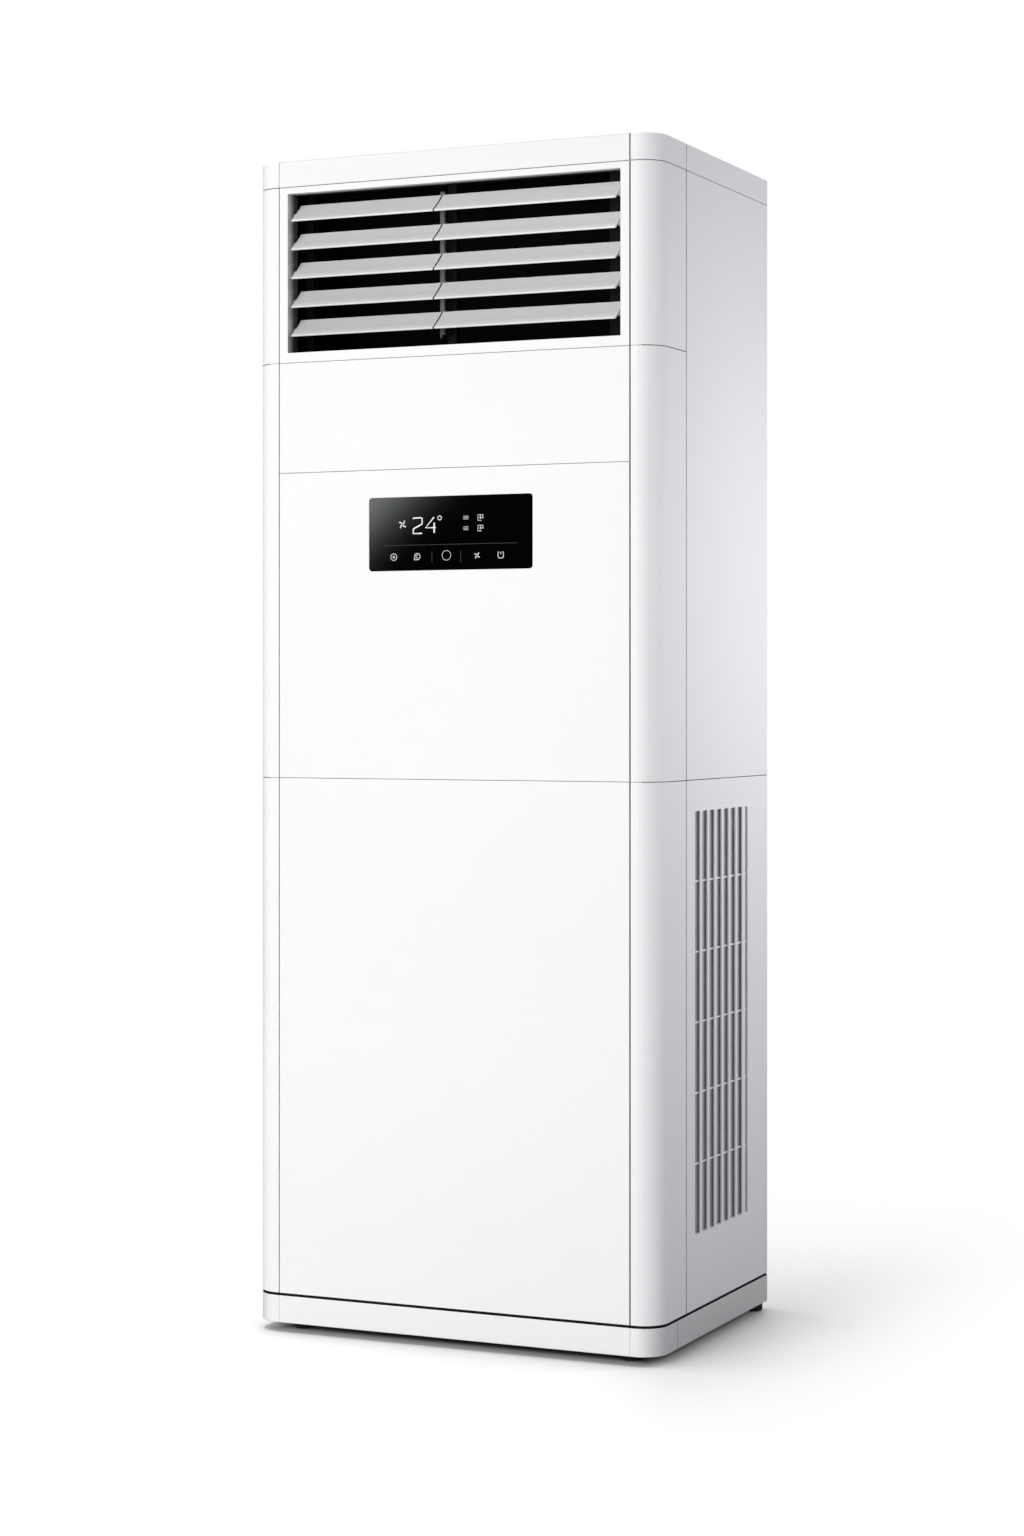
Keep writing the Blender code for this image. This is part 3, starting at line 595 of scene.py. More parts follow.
@dataclass(frozen=True)
class GrainedPlastic(Finish):
    """Matt moulded plastic with an eroded grain."""

    grain_size: float = 0.0012
    grain_depth: float = 0.00003
    dust_scale: float = 18.0
    gloss: float = 0.5

    def shade(self, graph: Graph) -> dict[str, Input]:
        """The grain, with a little dust in it.

        Args:
            graph: the material's nodes.

        Returns:
            The values by socket.
        """
        grain = graph.noise(1.0 / self.grain_size, 3.0)
        cloudy = graph.noise(self.dust_scale, 3.0)
        dusty = tuple(min(1.0, part * 1.35 + 0.004) for part in self.colour)
        return {
            "Base Color": graph.blend(self.colour, dusty, (grain * cloudy).ramp(0.2, 0.5)),
            "Roughness": self.roughness + (grain - 0.5) * 0.14,
            "Specular IOR Level": self.gloss,
            "Normal": graph.relief(grain, self.grain_depth),
        }


@dataclass(frozen=True)
class BeadFoam(Finish):
    """Black moulded bead foam, its beads pressed flat."""

    bead: float = 0.0035
    joint_share: float = 0.12
    joint_depth: float = 0.0001
    gloss: float = 0.1

    def shade(self, graph: Graph) -> dict[str, Input]:
        """The flat beads and the fine joints between them.

        Args:
            graph: the material's nodes.

        Returns:
            The values by socket.
        """
        inputs = {"Vector": graph.place(), "Scale": 1.0 / self.bead}
        joints = graph.add(
            "ShaderNodeTexVoronoi", {"feature": "DISTANCE_TO_EDGE"}, inputs, "Distance"
        )
        flat = joints.ramp(0.0, self.joint_share)
        return {
            "Base Color": graph.blend(dimmed(self.colour, 0.5), self.colour, flat),
            "Roughness": self.roughness + (1.0 - flat) * 0.2,
            "Specular IOR Level": self.gloss,
            "Normal": graph.relief(flat, self.joint_depth),
        }


@dataclass(frozen=True)
class SmokedGlass(Finish):
    """Dark coated glass over the display, printed black behind, with a painted reflection that
    makes it lighter at its upper left.
    """

    painted_reflection: Colour = (0.150, 0.157, 0.160)
    painted_reflection_rise: float = 1.2
    painted_reflection_span: tuple[float, float] = (1.36, 1.64)
    smear_scale: float = 22.0
    gloss: float = 0.01

    def shade(self, graph: Graph) -> dict[str, Input]:
        """The painted reflection and the faintest smears.

        Args:
            graph: the material's nodes.

        Returns:
            The values by socket.
        """
        # painted reflection: lighter towards the upper left of the glass
        slant = graph.axis(Axis.Z) * self.painted_reflection_rise - graph.axis(Axis.X)
        lit = slant.ramp(*self.painted_reflection_span)
        sheen = lit * lit
        smears = graph.noise(self.smear_scale, 4.0)
        return {
            "Base Color": graph.blend(self.colour, self.painted_reflection, sheen * sheen),
            "Roughness": self.roughness + smears.ramp(0.5, 0.9) * 0.06,
            "Specular IOR Level": self.gloss,
        }


@dataclass(frozen=True)
class FilterWeave(Finish):
    """Fine grey filter net in front of the dark coil space."""

    pitch: float = 0.0016
    strand_depth: float = 0.0002
    hole_shade: float = 0.35

    def shade(self, graph: Graph) -> dict[str, Input]:
        """Strands both ways, raised over the dark holes.

        Args:
            graph: the material's nodes.

        Returns:
            The values by socket.
        """
        turn = 2.0 * math.pi / self.pitch
        level = (graph.axis(Axis.Z) * turn).combine("SINE")
        upright = (graph.axis(Axis.Y) * turn).combine("SINE")
        strand = level.combine("MAXIMUM", upright).ramp(-0.2, 0.9)
        return {
            "Base Color": graph.blend(dimmed(self.colour, self.hole_shade), self.colour, strand),
            "Normal": graph.relief(strand, self.strand_depth),
        }


@dataclass(frozen=True)
class Rubber(Finish):
    """Black rubber with moulded rings and a dusty bloom."""

    ring: float = 0.0022
    ring_depth: float = 0.0003
    bloom_scale: float = 220.0
    bloom_gain: float = 2.4

    def shade(self, graph: Graph) -> dict[str, Input]:
        """The rings round the foot and the bloom.

        Args:
            graph: the material's nodes.

        Returns:
            The values by socket.
        """
        rings = (graph.axis(Axis.Z) * (2.0 * math.pi / self.ring)).combine("SINE")
        bloom = graph.noise(self.bloom_scale, 3.0).ramp(0.45, 0.8)
        return {
            "Base Color": graph.blend(self.colour, dimmed(self.colour, self.bloom_gain), bloom),
            "Normal": graph.relief(rings.ramp(-0.4, 0.4), self.ring_depth),
        }


@dataclass(frozen=True)
class ZincPlate(Finish):
    """Bright zinc on the screws."""

    straw: Colour = (0.66, 0.64, 0.56)
    spangle_scale: float = 900.0
    scratch_depth: float = 0.00002

    def shade(self, graph: Graph) -> dict[str, Input]:
        """The spangle and fine scratches.

        Args:
            graph: the material's nodes.

        Returns:
            The values by socket.
        """
        spangle = graph.noise(self.spangle_scale, 2.0)
        return {
            "Base Color": graph.blend(self.colour, self.straw, spangle.ramp(0.35, 0.75)),
            "Roughness": self.roughness + (spangle - 0.5) * 0.2,
            "Metallic": 1.0,
            "Normal": graph.relief(spangle, self.scratch_depth),
        }


@dataclass(frozen=True)
class LitMark(Finish):
    """Print on the display glass that is lit from behind."""

    glow: float = 1.0
    weaker: float = 0.82
    diffuser_scale: float = 400.0

    def shade(self, graph: Graph) -> dict[str, Input]:
        """The light, a little uneven as through a diffuser.

        Args:
            graph: the material's nodes.

        Returns:
            The values by socket.
        """
        uneven = graph.noise(self.diffuser_scale, 1.0).ramp(0.4, 0.7)
        full = dimmed(self.colour, self.glow)
        weak = dimmed(self.colour, self.weaker * self.glow)
        return {
            "Base Color": (0.02, 0.02, 0.02),
            "Emission Color": graph.blend(full, weak, uneven),
            "Emission Strength": 1.0,
        }


FRONT_COLOUR = (0.905, 0.905, 0.908)
# painted shade: the white with the cool tint of the shaded sides, used on the sides, rear, top
# and round the corners
SIDE_SHADE_TINTED = (0.888, 0.872, 0.920)
# painted shade: the darker colour of the base's side, which lies in shade
BASE_FLANK_SHADE = (0.67, 0.67, 0.70)
MARK_COLOUR = (0.94, 0.97, 1.0)
SIDE_FROM = 0.30
PANEL_FOLD = 0.2815
# Seam lines, each a band of painted shade; the band at the base gap is the widest, so the gap
# reads as deep shadow
FRONT_SEAM = SeamLine(Axis.X, seam("lower_front_panel", "top_corner_right", Axis.X), 0.0008)
FLANK_SEAM = SeamLine(
    Axis.Y, seam("top_corner_right", "side_panel_upper_right", Axis.Y), 0.0008, SIDE_FROM
)
MIDDLE_SEAM = SeamLine(
    Axis.Z, seam("lower_front_panel", "control_panel", Axis.Z), 0.0004, SIDE_FROM
)
OUTLET_SEAM = SeamLine(Axis.Z, seam("fascia_panel", "outlet_frame", Axis.Z), 0.0004, SIDE_FROM)
CAP_SEAM = SeamLine(Axis.Z, seam("outlet_frame", "top_trim_front", Axis.Z), 0.0004)
BASE_GAP = SeamLine(Axis.Z, seam("base_skirt_front", "lower_front_panel", Axis.Z), 0.0019)
BASE_SEAM = SeamLine(
    Axis.Y, seam("base_corner_right", "base_skirt_rear", Axis.Y), 0.0003, SIDE_FROM
)
FRONT_WHITE = Lacquer(
    "front_white", FRONT_COLOUR, 0.30, lines=(FRONT_SEAM, FLANK_SEAM, CAP_SEAM), flank_shade=SIDE_SHADE_TINTED
)
CAP_WHITE = CapLacquer("cap_white", (0.888, 0.888, 0.891), 0.30, lines=(FRONT_SEAM, CAP_SEAM))
PANEL_WHITE = Lacquer(
    "panel_white", FRONT_COLOUR, 0.30, fold_from=PANEL_FOLD, lines=(FRONT_SEAM, BASE_GAP)
)
POST_WHITE = Lacquer(
    "post_white", FRONT_COLOUR, 0.30, fold_from=SIDE_FROM,
    lines=(FRONT_SEAM, FLANK_SEAM, MIDDLE_SEAM, OUTLET_SEAM, CAP_SEAM, BASE_GAP),
    flank_shade=SIDE_SHADE_TINTED,
)
OUTLET_WHITE = OutletLacquer(
    "outlet_white", FRONT_COLOUR, 0.30, fold_from=PANEL_FOLD, lines=(FRONT_SEAM, CAP_SEAM)
)
BASE_WHITE = Lacquer(
    "base_white", (0.895, 0.896, 0.90), 0.34, lines=(BASE_GAP, BASE_SEAM), flank_shade=BASE_FLANK_SHADE
)
SIDE_WHITE = Lacquer("side_white", SIDE_SHADE_TINTED, 0.36, peel_size=0.0013, peel_depth=0.00002)
SLOTTED_WHITE = Lacquer(
    "slotted_white", SIDE_SHADE_TINTED, 0.36, 0.0013, 0.00002, fold_from=SIDE_FROM, fold_depth=0.0022,
    lines=(FLANK_SEAM, MIDDLE_SEAM, CAP_SEAM, BASE_GAP),
)
BLADE_WHITE = LouverPlastic("blade_white", (0.985, 0.988, 0.99), 0.36)
LINK_GREY = GrainedPlastic("link_grey", (0.14, 0.14, 0.146), 0.45, grain_depth=0.00001)
STRUT_GREY = GrainedPlastic("strut_grey", (0.012, 0.0125, 0.0135), 0.42, gloss=0.06)
DUCT_BLACK = BeadFoam("duct_black", (0.0035, 0.0036, 0.004), 0.6)
DISPLAY_GLASS = SmokedGlass("display_glass", (0.0007, 0.0008, 0.0009), 0.07)
INTAKE_NET = FilterWeave("intake_net", (0.50, 0.53, 0.56), 0.75)
PAN_BLACK = GrainedPlastic("pan_black", (0.010, 0.010, 0.011), 0.5, gloss=0.1)
FOOT_RUBBER = Rubber("foot_rubber", (0.012, 0.012, 0.012), 0.75)
SCREW_ZINC = ZincPlate("screw_zinc", (0.62, 0.63, 0.66), 0.32)
DIGIT_LIGHT = LitMark("digit_light", MARK_COLOUR, glow=1.0)
ICON_LIGHT = LitMark("icon_light", MARK_COLOUR, glow=0.80)
LINE_LIGHT = LitMark("line_light", MARK_COLOUR, glow=0.04)


# Modelling by hand


class Side(Enum):
    """The two sides of the cabinet."""

    LEFT = -1
    RIGHT = 1


class Element(Enum):
    """The parts of a mesh that are selected in code."""

    EDGE = "EDGE"
    FACE = "FACE"


def deselect() -> None:
    """Leaves nothing selected, so that an operator acts on the new piece alone."""
    for item in bpy.context.view_layer.objects:
        item.select_set(False)
    bpy.context.view_layer.objects.active = None


def pick(piece: bpy.types.Object) -> None:
    """Selects one piece and makes it active."""
    deselect()
    piece.select_set(True)
    bpy.context.view_layer.objects.active = piece


@contextmanager
def editing(piece: bpy.types.Object) -> Iterator[None]:
    """Opens edit mode on one piece.

    Args:
        piece: the piece.

    Yields:
        Nothing, with nothing selected in the piece.
    """
    pick(piece)
    bpy.ops.object.mode_set(mode="EDIT")
    bpy.ops.mesh.select_all(action="DESELECT")
    yield
    bpy.ops.object.mode_set(mode="OBJECT")


def choose(
    piece: bpy.types.Object, kind: Element, test: Callable[[Vector, Vector], bool]
) -> None:
    """Selects parts of the mesh that is being edited.

    Args:
        piece: the piece in edit mode.
        kind: edges or faces.
        test: takes a part's middle and a face's normal or an edge's way.
    """
    bpy.ops.mesh.select_mode(type=kind.value)
    bpy.ops.mesh.select_all(action="DESELECT")
    model = bmesh.from_edit_mesh(piece.data)
    if kind is Element.FACE:
        for face in model.faces:
            face.select_set(test(face.calc_center_median(), face.normal))
    else:
        for edge in model.edges:
            ends = edge.verts[0].co, edge.verts[1].co
            edge.select_set(test((ends[0] + ends[1]) / 2, (ends[1] - ends[0]).normalized()))
    model.select_flush_mode()
    bmesh.update_edit_mesh(piece.data)


def settle(piece: bpy.types.Object, name: str, finish: bpy.types.Material) -> bpy.types.Object:
    """Moves a piece's place into its mesh and names and dresses it.

    Args:
        piece: the modelled piece.
        name: its name.
        finish: its material.

    Returns:
        The piece, at the origin.
    """
    pick(piece)
    if piece.type != "MESH":
        bpy.ops.object.convert(target="MESH")
        piece = bpy.context.object
    bpy.ops.object.transform_apply(location=True, rotation=True, scale=True)
    piece.name = piece.data.name = name
    piece.data.materials.clear()
    piece.data.materials.append(finish)
    bpy.ops.object.shade_smooth_by_angle(angle=math.radians(35))
    return piece


def copy_of(piece: bpy.types.Object, shift: Iterable[float]) -> bpy.types.Object:
    """A copy with its own mesh.

    Args:
        piece: what is copied.
        shift: how far the copy is moved.

    Returns:
        The copy.
    """
    pick(piece)
    bpy.ops.object.duplicate(linked=False)
    copy = bpy.context.object
    copy.location = Vector(shift)
    return copy


def joined(pieces: list[bpy.types.Object]) -> bpy.types.Object:
    """Joins pieces.

    Args:
        pieces: the pieces.

    Returns:
        The one object that they become.
    """
    pick(pieces[0])
    for piece in pieces[1:]:
        piece.select_set(True)
    bpy.ops.object.join()
    return bpy.context.object


# Display marks


CIRCLE_STEPS = 24
ARC_STEPS = 14


@dataclass(frozen=True)
class Stroke:
    """A drawn line of even width on the display, in millimetres from its middle."""

    points: tuple[tuple[float, float], ...]
    width: float = 1.2
    closed: bool = False

    def draw(self, middle: Vector, height: float) -> bpy.types.Object:
        """Draws the stroke as a flat raised line.

        Args:
            middle: the display's middle on the glass.
            height: how far the line stands out.

        Returns:
            The stroke's mesh.
        """
        deselect()
        bpy.ops.curve.primitive_bezier_curve_add()
        drawn = bpy.context.object
        drawn.data.splines.clear()
        line = drawn.data.splines.new("POLY")
        line.points.add(len(self.points) - 1)
        for point, (across, up) in zip(line.points, self.points):
            point.co = (across / 1000.0, 0.0, up / 1000.0, 1.0)
        line.use_cyclic_u = self.closed
        drawn.data.bevel_depth = self.width / 2000.0
        drawn.data.bevel_resolution = 1
        drawn.data.use_fill_caps = True
        pick(drawn)
        bpy.ops.object.convert(target="MESH")
        drawn = bpy.context.object
        drawn.scale.y = height / (self.width / 2000.0)
        drawn.location = middle
        bpy.ops.object.transform_apply(location=True, rotation=True, scale=True)
        return drawn


def ring(across: float, up: float, radius: float, width: float) -> Stroke:
    """A circle drawn as a stroke, by its middle, its radius and the line's width."""
    return arc(across, up, radius, 0.0, 360.0, width)


def arc(
    across: float, up: float, radius: float, start: float, end: float, width: float
) -> Stroke:
    """A part of a circle drawn as a stroke, in millimetres.

    Args:
        across: its middle's place.
        up: its middle's height.
        radius: to the middle of the line.
        start: the angle where it starts, in degrees.
        end: the angle where it ends.
        width: of the line.

    Returns:
        The stroke.
    """
    whole = abs(end - start) >= 360.0
    steps = CIRCLE_STEPS if whole else ARC_STEPS
    count = steps if whole else steps + 1
    turns = [math.radians(start + (end - start) * step / steps) for step in range(count)]
    points = tuple((across + radius * math.cos(t), up + radius * math.sin(t)) for t in turns)
    return Stroke(points, width, whole)


@dataclass
class Display:
    """The lit marks on the control panel's glass."""

    glass: str = "display_glass"
    height: float = 0.00008
    digit_width: float = 2.3
    bar_width: float = 0.8
    bar_pitch: float = 2.1
    line_width: float = 0.7
    icon_row: float = -33.7

    def middle(self) -> Vector:
        """The middle of the glass, on its face."""
        up = (low(self.glass, Axis.Z) + high(self.glass, Axis.Z)) / 2.0
        return Vector((0.0, low(self.glass, Axis.Y), up))

    def digits(self) -> list[Stroke]:
        """Draws the set temperature.

        Returns:
            The strokes of both digits and the degree ring.
        """
        two = (
            (-60.0, 21.6), (-59.0, 22.9), (-46.6, 23.1), (-45.2, 21.8), (-45.1, 14.9),
            (-46.4, 13.2), (-58.4, 7.6), (-59.7, 5.9), (-59.7, 0.2), (-45.4, 0.2),
        )
        four = ((-26.0, 23.4), (-39.6, 8.2), (-22.9, 8.2))
        stem = ((-25.6, 15.4), (-25.6, 0.6))
        return [
            Stroke(two, self.digit_width),
            Stroke(four, self.digit_width),
            Stroke(stem, self.digit_width),
            ring(-16.7, 22.1, 2.9, 1.2),
        ]

    def fan(self, across: float, up: float, size: float) -> list[Stroke]:
        """Four bent blades round a hub.

        Args:
            across: the hub's place.
            up: the hub's height.
            size: the blades' reach.

        Returns:
            The strokes.
        """
        blades = []
        for quarter in range(4):
            turn = math.radians(90.0 * quarter + 20.0)
            points = tuple(
                (
                    across + size * share * math.cos(turn + 0.7 * share),
                    up + size * share * math.sin(turn + 0.7 * share),
                )
                for share in (0.15, 0.4, 0.7, 1.0)
            )
            blades.append(Stroke(points, size * 0.36))
        return blades

    def square(self, across: float, up: float, size: float, width: float) -> list[Stroke]:
        """A small square window, open at its lower right, with a cross bar.

        Args:
            across: its middle's place.
            up: its middle's height.
            size: of its sides.
            width: of its lines.

        Returns:
            The strokes.
        """
        reach = size / 2.0
        corners = (
            (reach, -reach * 0.3), (reach, reach), (-reach, reach), (-reach, -reach),
            (reach * 0.4, -reach),
        )
        frame_line = tuple((across + x, up + z) for x, z in corners)
        return [
            Stroke(frame_line, width),
            Stroke(((across, up + reach), (across, up - reach * 0.5)), width),
            Stroke(((across - reach * 0.5, up), (across + reach, up)), width),
        ]

    def icons(self) -> list[Stroke]:
        """Draws the small status marks and the touch buttons.

        Returns:
            The strokes.
        """
        strokes = self.fan(-77.3, 13.9, 6.4)
        for lowest in (4.0, 19.5):
            for step in range(3):
                up = lowest + self.bar_pitch * step
                strokes.append(Stroke(((21.6, up), (29.8, up)), self.bar_width))
        cup = (
            (78.9, -29.6), (77.2, -29.6), (77.2, -36.4), (79.0, -38.2), (84.0, -38.2),
            (85.8, -36.4), (85.8, -29.6), (84.1, -29.6),
        )
        strokes += self.square(49.1, 21.1, 8.2, 1.0)
        strokes += self.square(49.1, 5.9, 8.2, 1.0)
        strokes += [
            ring(-91.6, self.icon_row, 4.9, 1.1),
            Stroke(((-93.7, self.icon_row), (-89.5, self.icon_row)), 1.2),
            Stroke(((-91.6, -35.8), (-91.6, -31.6)), 1.2),
            arc(-53.2, -33.6, 4.6, -100.0, 170.0, 1.3),
            arc(-53.2, -33.6, 2.2, 60.0, 300.0, 1.2),
            Stroke(((-57.7, -33.6), (-57.7, -38.2), (-53.9, -38.2)), 1.3),
            ring(-5.7, -32.7, 7.0, 0.8),
            Stroke(cup, 1.4),
            Stroke(((81.5, -32.8), (81.5, -29.4)), 1.2),
        ]
        return strokes + self.fan(43.7, -33.8, 4.9)

    def lines(self) -> list[Stroke]:
        """Draws the thin dividing lines.

        Returns:
            The strokes.
        """
        strokes = [Stroke(((-108.0, -16.7), (108.0, -16.7)), self.line_width)]
        for across in (-29.2, 17.3):
            strokes.append(Stroke(((across, -26.5), (across, -43.0)), self.line_width))
        return strokes

    def build(self) -> list[bpy.types.Object]:
        """Draws every mark.

        Returns:
            One piece for each kind of mark.
        """
        groups = {
            "display_digits": (self.digits(), DIGIT_LIGHT),
            "display_icons": (self.icons(), ICON_LIGHT),
            "display_lines": (self.lines(), LINE_LIGHT),
        }
        made = []
        for name, (strokes, finish) in groups.items():
            drawn = [stroke.draw(self.middle(), self.height) for stroke in strokes]
            piece = settle(joined(drawn), name, finish.material())
            made.append(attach(piece, BODY))
        return made


# Screws of the rear panels


@dataclass
class RearScrews:
    """Pan head screws that hold the rear panels, each in its pressed dimple."""

    radius: float = 0.0042
    height: float = 0.0010
    across: float = 0.2924
    floor: float = 0.2308
    heights: tuple[float, ...] = (0.070, 0.4435, 0.8167, 0.8413, 1.2702, 1.6987)
    slot_reach: float = 1.15
    slot_width: float = 0.24
    slot_depth: float = 1.2
    slot_taper: float = 0.6
    dome: float = 0.6

    def head(self) -> bpy.types.Object:
        """Models one screw head with its cross slot.

        Returns:
            The head, at the origin, facing +Y.
        """
        deselect()
        bpy.ops.mesh.primitive_cylinder_add(
            vertices=24, radius=self.radius, depth=self.height, rotation=(math.pi / 2, 0.0, 0.0)
        )
        screw = bpy.context.object
        bpy.ops.object.transform_apply(location=True, rotation=True, scale=True)
        top = self.height / 2.0
        with editing(screw):
            choose(
                screw,
                Element.EDGE,
                lambda middle, _: middle.y > top * 0.9 and middle.length > self.radius * 0.9,
            )
            bpy.ops.mesh.bevel(offset=self.height * self.dome, segments=3, profile=0.6)
        for turn in (0.0, math.pi / 2):
            deselect()
            bpy.ops.mesh.primitive_cube_add(
                size=1.0, location=(0.0, top, 0.0), rotation=(0.0, turn, 0.0)
            )
            slot = bpy.context.object
            slot.scale = (
                self.radius * self.slot_reach,
                self.height * self.slot_depth,
                self.radius * self.slot_width,
            )
            bpy.ops.object.transform_apply(location=True, rotation=True, scale=True)
            with editing(slot):
                choose(slot, Element.FACE, lambda middle, normal: normal.y < -0.5)
                bpy.ops.transform.resize(value=(self.slot_taper, 1.0, self.slot_taper))
            pick(screw)
            cut = screw.modifiers.new("slot", "BOOLEAN")
            cut.operation = "DIFFERENCE"
            cut.solver = "EXACT"
            cut.object = slot
            bpy.ops.object.modifier_apply(modifier="slot")
            bpy.data.objects.remove(slot)
        return screw

    def build(self) -> list[bpy.types.Object]:
        """Places a screw in each dimple.

        Returns:
            The one piece that holds them.
        """
        first = self.head()
        spots = [(side.value * self.across, z) for z in self.heights for side in Side]
        depth = self.floor + self.height / 2.0
        copies = [copy_of(first, (x, depth, z)) for x, z in spots]
        bpy.data.objects.remove(first)
        piece = settle(joined(copies), "rear_screws", SCREW_ZINC.material())
        return [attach(piece, BODY)]


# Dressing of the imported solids


@dataclass
class Dressing:
    """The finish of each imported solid."""

    finishes: dict[Finish, tuple[str, ...]] = field(
        default_factory=lambda: {
            FRONT_WHITE: ("top_corner_left", "top_corner_right"),
            CAP_WHITE: ("top_trim_front",),
            PANEL_WHITE: ("lower_front_panel", "control_panel", "fascia_panel"),
            OUTLET_WHITE: ("outlet_frame",),
            POST_WHITE: (
                "corner_post_lower_left", "corner_post_lower_right",
                "corner_post_middle_left", "corner_post_middle_right",
                "corner_post_upper_left", "corner_post_upper_right",
            ),
            BASE_WHITE: (
                "base_skirt_front", "base_corner_left", "base_corner_right", "base_skirt_rear",
            ),
            SLOTTED_WHITE: (
                "side_panel_lower_left", "side_panel_lower_right",
                "side_panel_upper_left", "side_panel_upper_right",
            ),
            SIDE_WHITE: (
                "intake_ribs_left", "intake_ribs_right",
                "rear_panel_lower", "rear_panel_upper",
                "top_cover", "top_trim_rear",
            ),
            BLADE_WHITE: LOUVERS,
            LINK_GREY: ("louver_link",),
            STRUT_GREY: ("outlet_strut_left", "outlet_strut_centre", "outlet_strut_right"),
            DUCT_BLACK: ("discharge_duct",),
            DISPLAY_GLASS: ("display_glass",),
            INTAKE_NET: ("intake_filter_left", "intake_filter_right"),
            PAN_BLACK: ("base_pan",),
            FOOT_RUBBER: (
                "foot_front_left", "foot_front_right", "foot_rear_left", "foot_rear_right",
            ),
        }
    )

    def build(self) -> list[bpy.types.Object]:
        """Gives each solid its finish.

        Returns:
            The dressed solids.
        """
        dressed = []
        for finish, names in self.finishes.items():
            material = finish.material()
            for name in names:
                solid = frame["nodes"][name]
                solid.data.materials.clear()
                solid.data.materials.append(material)
                dressed.append(solid)
        return dressed


# Studio


@dataclass
class Softbox:
    """A soft lamp that looks at a point on the cabinet and lights it to a share of full white."""

    name: str
    place: tuple[float, float, float]
    aim: tuple[float, float, float]
    size: tuple[float, float]
    share: float
    spread: float = 180.0

    def build(self) -> None:
        """Hangs the lamp."""
        deselect()
        bpy.ops.object.light_add(type="AREA", location=self.place)
        lamp = bpy.context.object
        lamp.name = self.name
        way = Vector(self.aim) - Vector(self.place)
        lamp.data.shape = "RECTANGLE"
        lamp.data.size, lamp.data.size_y = self.size
        lamp.data.energy = self.share * way.length_squared * math.pi ** 2
        lamp.data.spread = math.radians(self.spread)
        lamp.rotation_euler = way.to_track_quat("-Z", "Y").to_euler()
        lamp.visible_camera = False
        lamp.visible_glossy = False


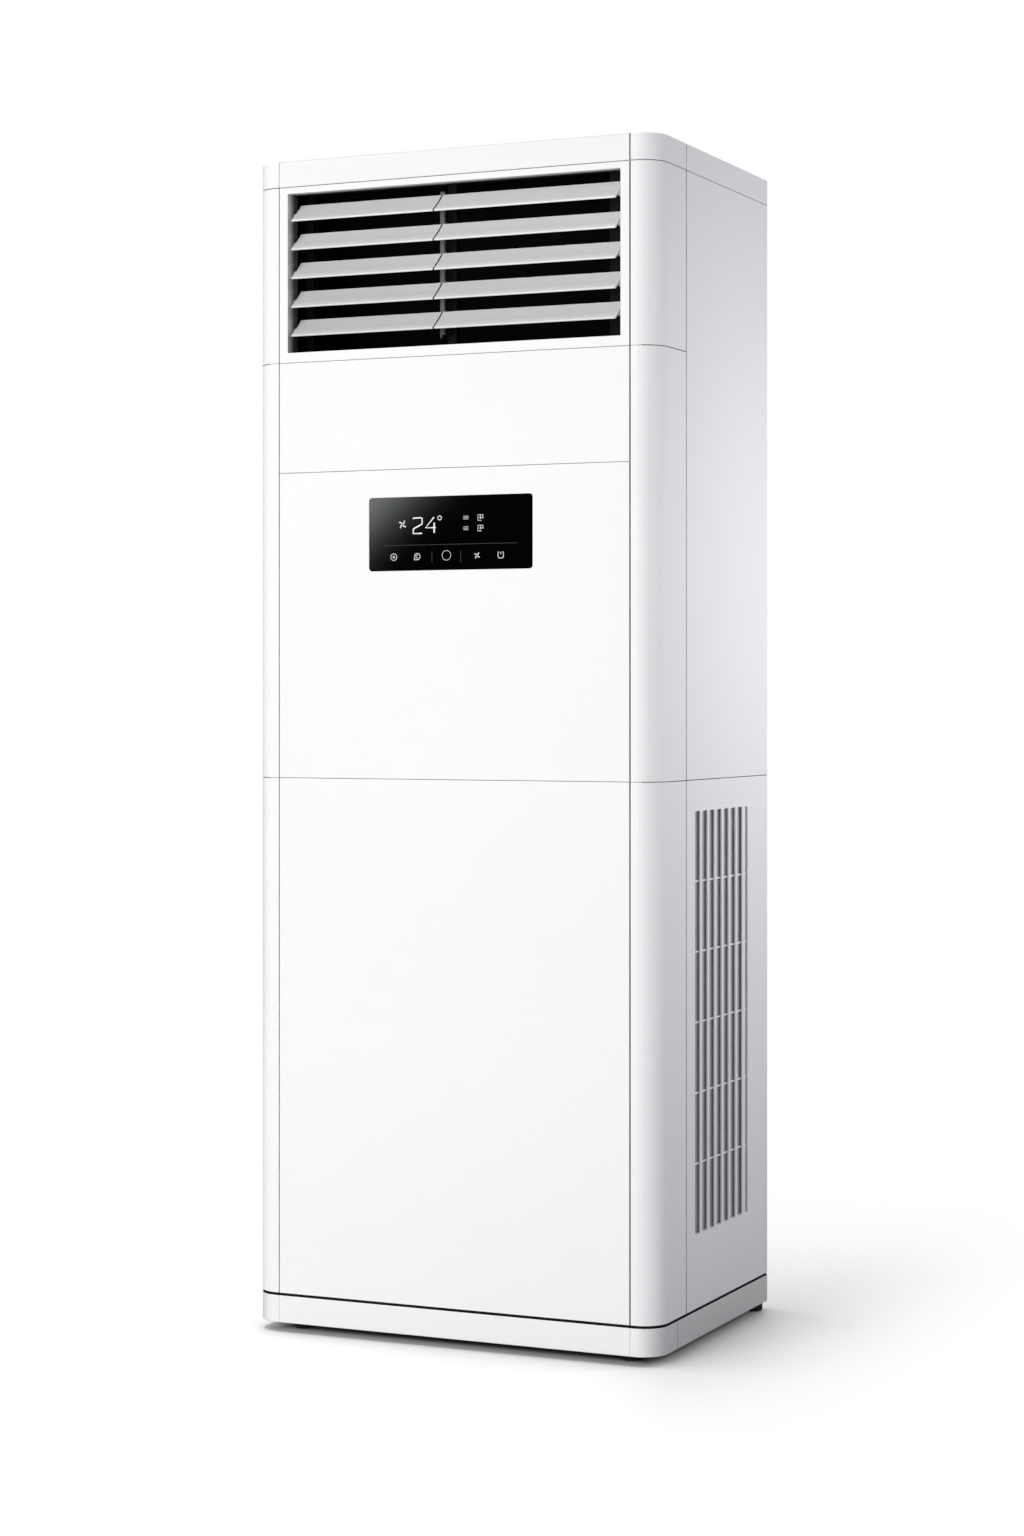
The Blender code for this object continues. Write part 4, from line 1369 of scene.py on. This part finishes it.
@dataclass
class Studio:
    """Pale floor, soft light and the camera."""

    floor_size: float = 60.0
    floor_colour: Colour = (0.45, 0.45, 0.455)
    floor_roughness: float = 0.6
    floor_sheen: float = 0.08
    floor_sheen_roughness: float = 0.2
    floor_gain: float = 1.07
    floor_fade: tuple[float, float] = (0.0, 0.36)
    # painted shadow: the share of the floor's brightness under the cabinet, and where it fades
    # out
    painted_floor_shadow: float = 0.12
    painted_floor_shadow_edge: tuple[float, float] = (-0.05, -0.015)
    floor_depth_share: float = 0.3
    ambient: float = 0.42
    lamps: tuple[Softbox, ...] = (
        Softbox("key_softbox", (-1.2, -5.1, 1.4), (0.0, -0.2, 0.95), (3.0, 2.0), 0.69),
        Softbox("top_softbox", (-1.1, -0.3, 6.5), (0.0, -0.1, 0.0), (2.6, 2.6), 0.36),
        Softbox("side_softbox", (1.65, 0.75, 1.1), (0.33, 0.05, 1.14), (0.5, 0.5), 0.190, 92.0),
        Softbox("rear_softbox", (-1.5, 5.0, 2.0), (0.0, 0.2, 0.95), (3.0, 2.6), 0.35),
    )
    camera_place: tuple[float, float, float] = (1.9017, -4.182, 0.9513)
    camera_turn: float = 24.5243
    lens: float = 70.49
    shift: float = -0.04694

    @staticmethod
    def seen(graph: Graph) -> Signal:
        """Finds the rays that show the backdrop.

        Args:
            graph: the nodes.

        Returns:
            1 for rays from the camera and through glass.
        """
        rays = graph.tree.nodes.new("ShaderNodeLightPath").outputs
        camera = Signal(graph, rays["Is Camera Ray"])
        through = Signal(graph, rays["Is Transmission Ray"])
        return camera.combine("MAXIMUM", through)

    def world(self) -> None:
        """Even light all round, white where the camera sees it."""
        scene_world = bpy.data.worlds.new("studio")
        bpy.context.scene.world = scene_world
        scene_world.use_nodes = True
        graph = Graph(scene_world.node_tree)
        background = scene_world.node_tree.nodes["Background"]
        seen = self.seen(graph)
        graph.feed(background.inputs["Color"], (1.0, 1.0, 1.0))
        graph.feed(background.inputs["Strength"], self.ambient + seen * (1.0 - self.ambient))

    def floor(self) -> bpy.types.Object:
        """Lays the pale floor, a little glossy, that keeps the cabinet's shadow, with a painted
        contact shadow under its footprint.

        Returns:
            The floor.
        """
        deselect()
        bpy.ops.mesh.primitive_plane_add(size=self.floor_size)
        floor = bpy.context.object
        floor.name = "studio_floor"
        material = bpy.data.materials.new("studio_floor")
        material.use_nodes = True
        nodes = material.node_tree.nodes
        graph = Graph(material.node_tree)
        shader = nodes["Principled BSDF"]
        output = nodes["Material Output"]
        graph.feed(shader.inputs["Base Color"], self.floor_colour)
        graph.feed(shader.inputs["Roughness"], self.floor_roughness)
        across = abs(graph.axis(Axis.X)) - HALF_WIDTH
        along = abs(graph.axis(Axis.Y)) - HALF_DEPTH
        # painted shadow: the floor is darker under the cabinet's footprint, up to just inside its
        # edge
        under = across.combine("MAXIMUM", along).ramp(*self.painted_floor_shadow_edge)
        bright = (self.floor_gain,) * 3
        dim = (self.floor_gain * self.painted_floor_shadow,) * 3
        tone = graph.blend(dim, bright, under)
        pale = graph.add("ShaderNodeBsdfDiffuse", None, {"Color": tone}, "BSDF")
        inputs = {"Color": (1.0, 1.0, 1.0), "Roughness": self.floor_sheen_roughness}
        gloss = graph.add("ShaderNodeBsdfAnisotropic", None, inputs, "BSDF")
        inputs = {0: self.floor_sheen, 1: pale, 2: gloss}
        near = graph.add("ShaderNodeMixShader", None, inputs, "Shader")
        white = graph.add("ShaderNodeEmission", None, {"Color": (1.0, 1.0, 1.0)}, "Emission")
        beside = across.combine("MAXIMUM", 0.0)
        beyond = along.combine("MAXIMUM", 0.0) * self.floor_depth_share
        reach = (beside * beside + beyond * beyond).combine("SQRT")
        far = reach.ramp(*self.floor_fade)
        shown = graph.add("ShaderNodeMixShader", None, {0: far, 1: near, 2: white}, "Shader")
        plain = Signal(graph, shader.outputs["BSDF"])
        mixed = graph.add(
            "ShaderNodeMixShader", None, {0: self.seen(graph), 1: plain, 2: shown}, "Shader"
        )
        graph.feed(output.inputs["Surface"], mixed)
        floor.data.materials.append(material)
        return floor

    def camera(self) -> None:
        """The camera at the photograph's place, held level."""
        deselect()
        turn = (math.pi / 2, 0.0, math.radians(self.camera_turn))
        bpy.ops.object.camera_add(location=self.camera_place, rotation=turn)
        camera = bpy.context.object
        camera.data.lens = self.lens
        camera.data.shift_y = self.shift
        bpy.context.scene.camera = camera

    def build(self) -> None:
        """Sets up the light, the floor and the camera."""
        bpy.context.scene.view_settings.view_transform = "Standard"
        self.world()
        self.floor()
        for lamp in self.lamps:
            lamp.build()
        self.camera()


def main() -> None:
    """Dresses the cabinet, adds its fine pieces and sets up the studio."""
    logging.basicConfig(level=logging.INFO, format="%(message)s")
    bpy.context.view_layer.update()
    for assembly in (Dressing(), Display(), RearScrews()):
        for piece in assembly.build():
            log.info("%s: %d faces", piece.name, len(piece.data.polygons))
    Studio().build()


if __name__ == "__main__":
    main()
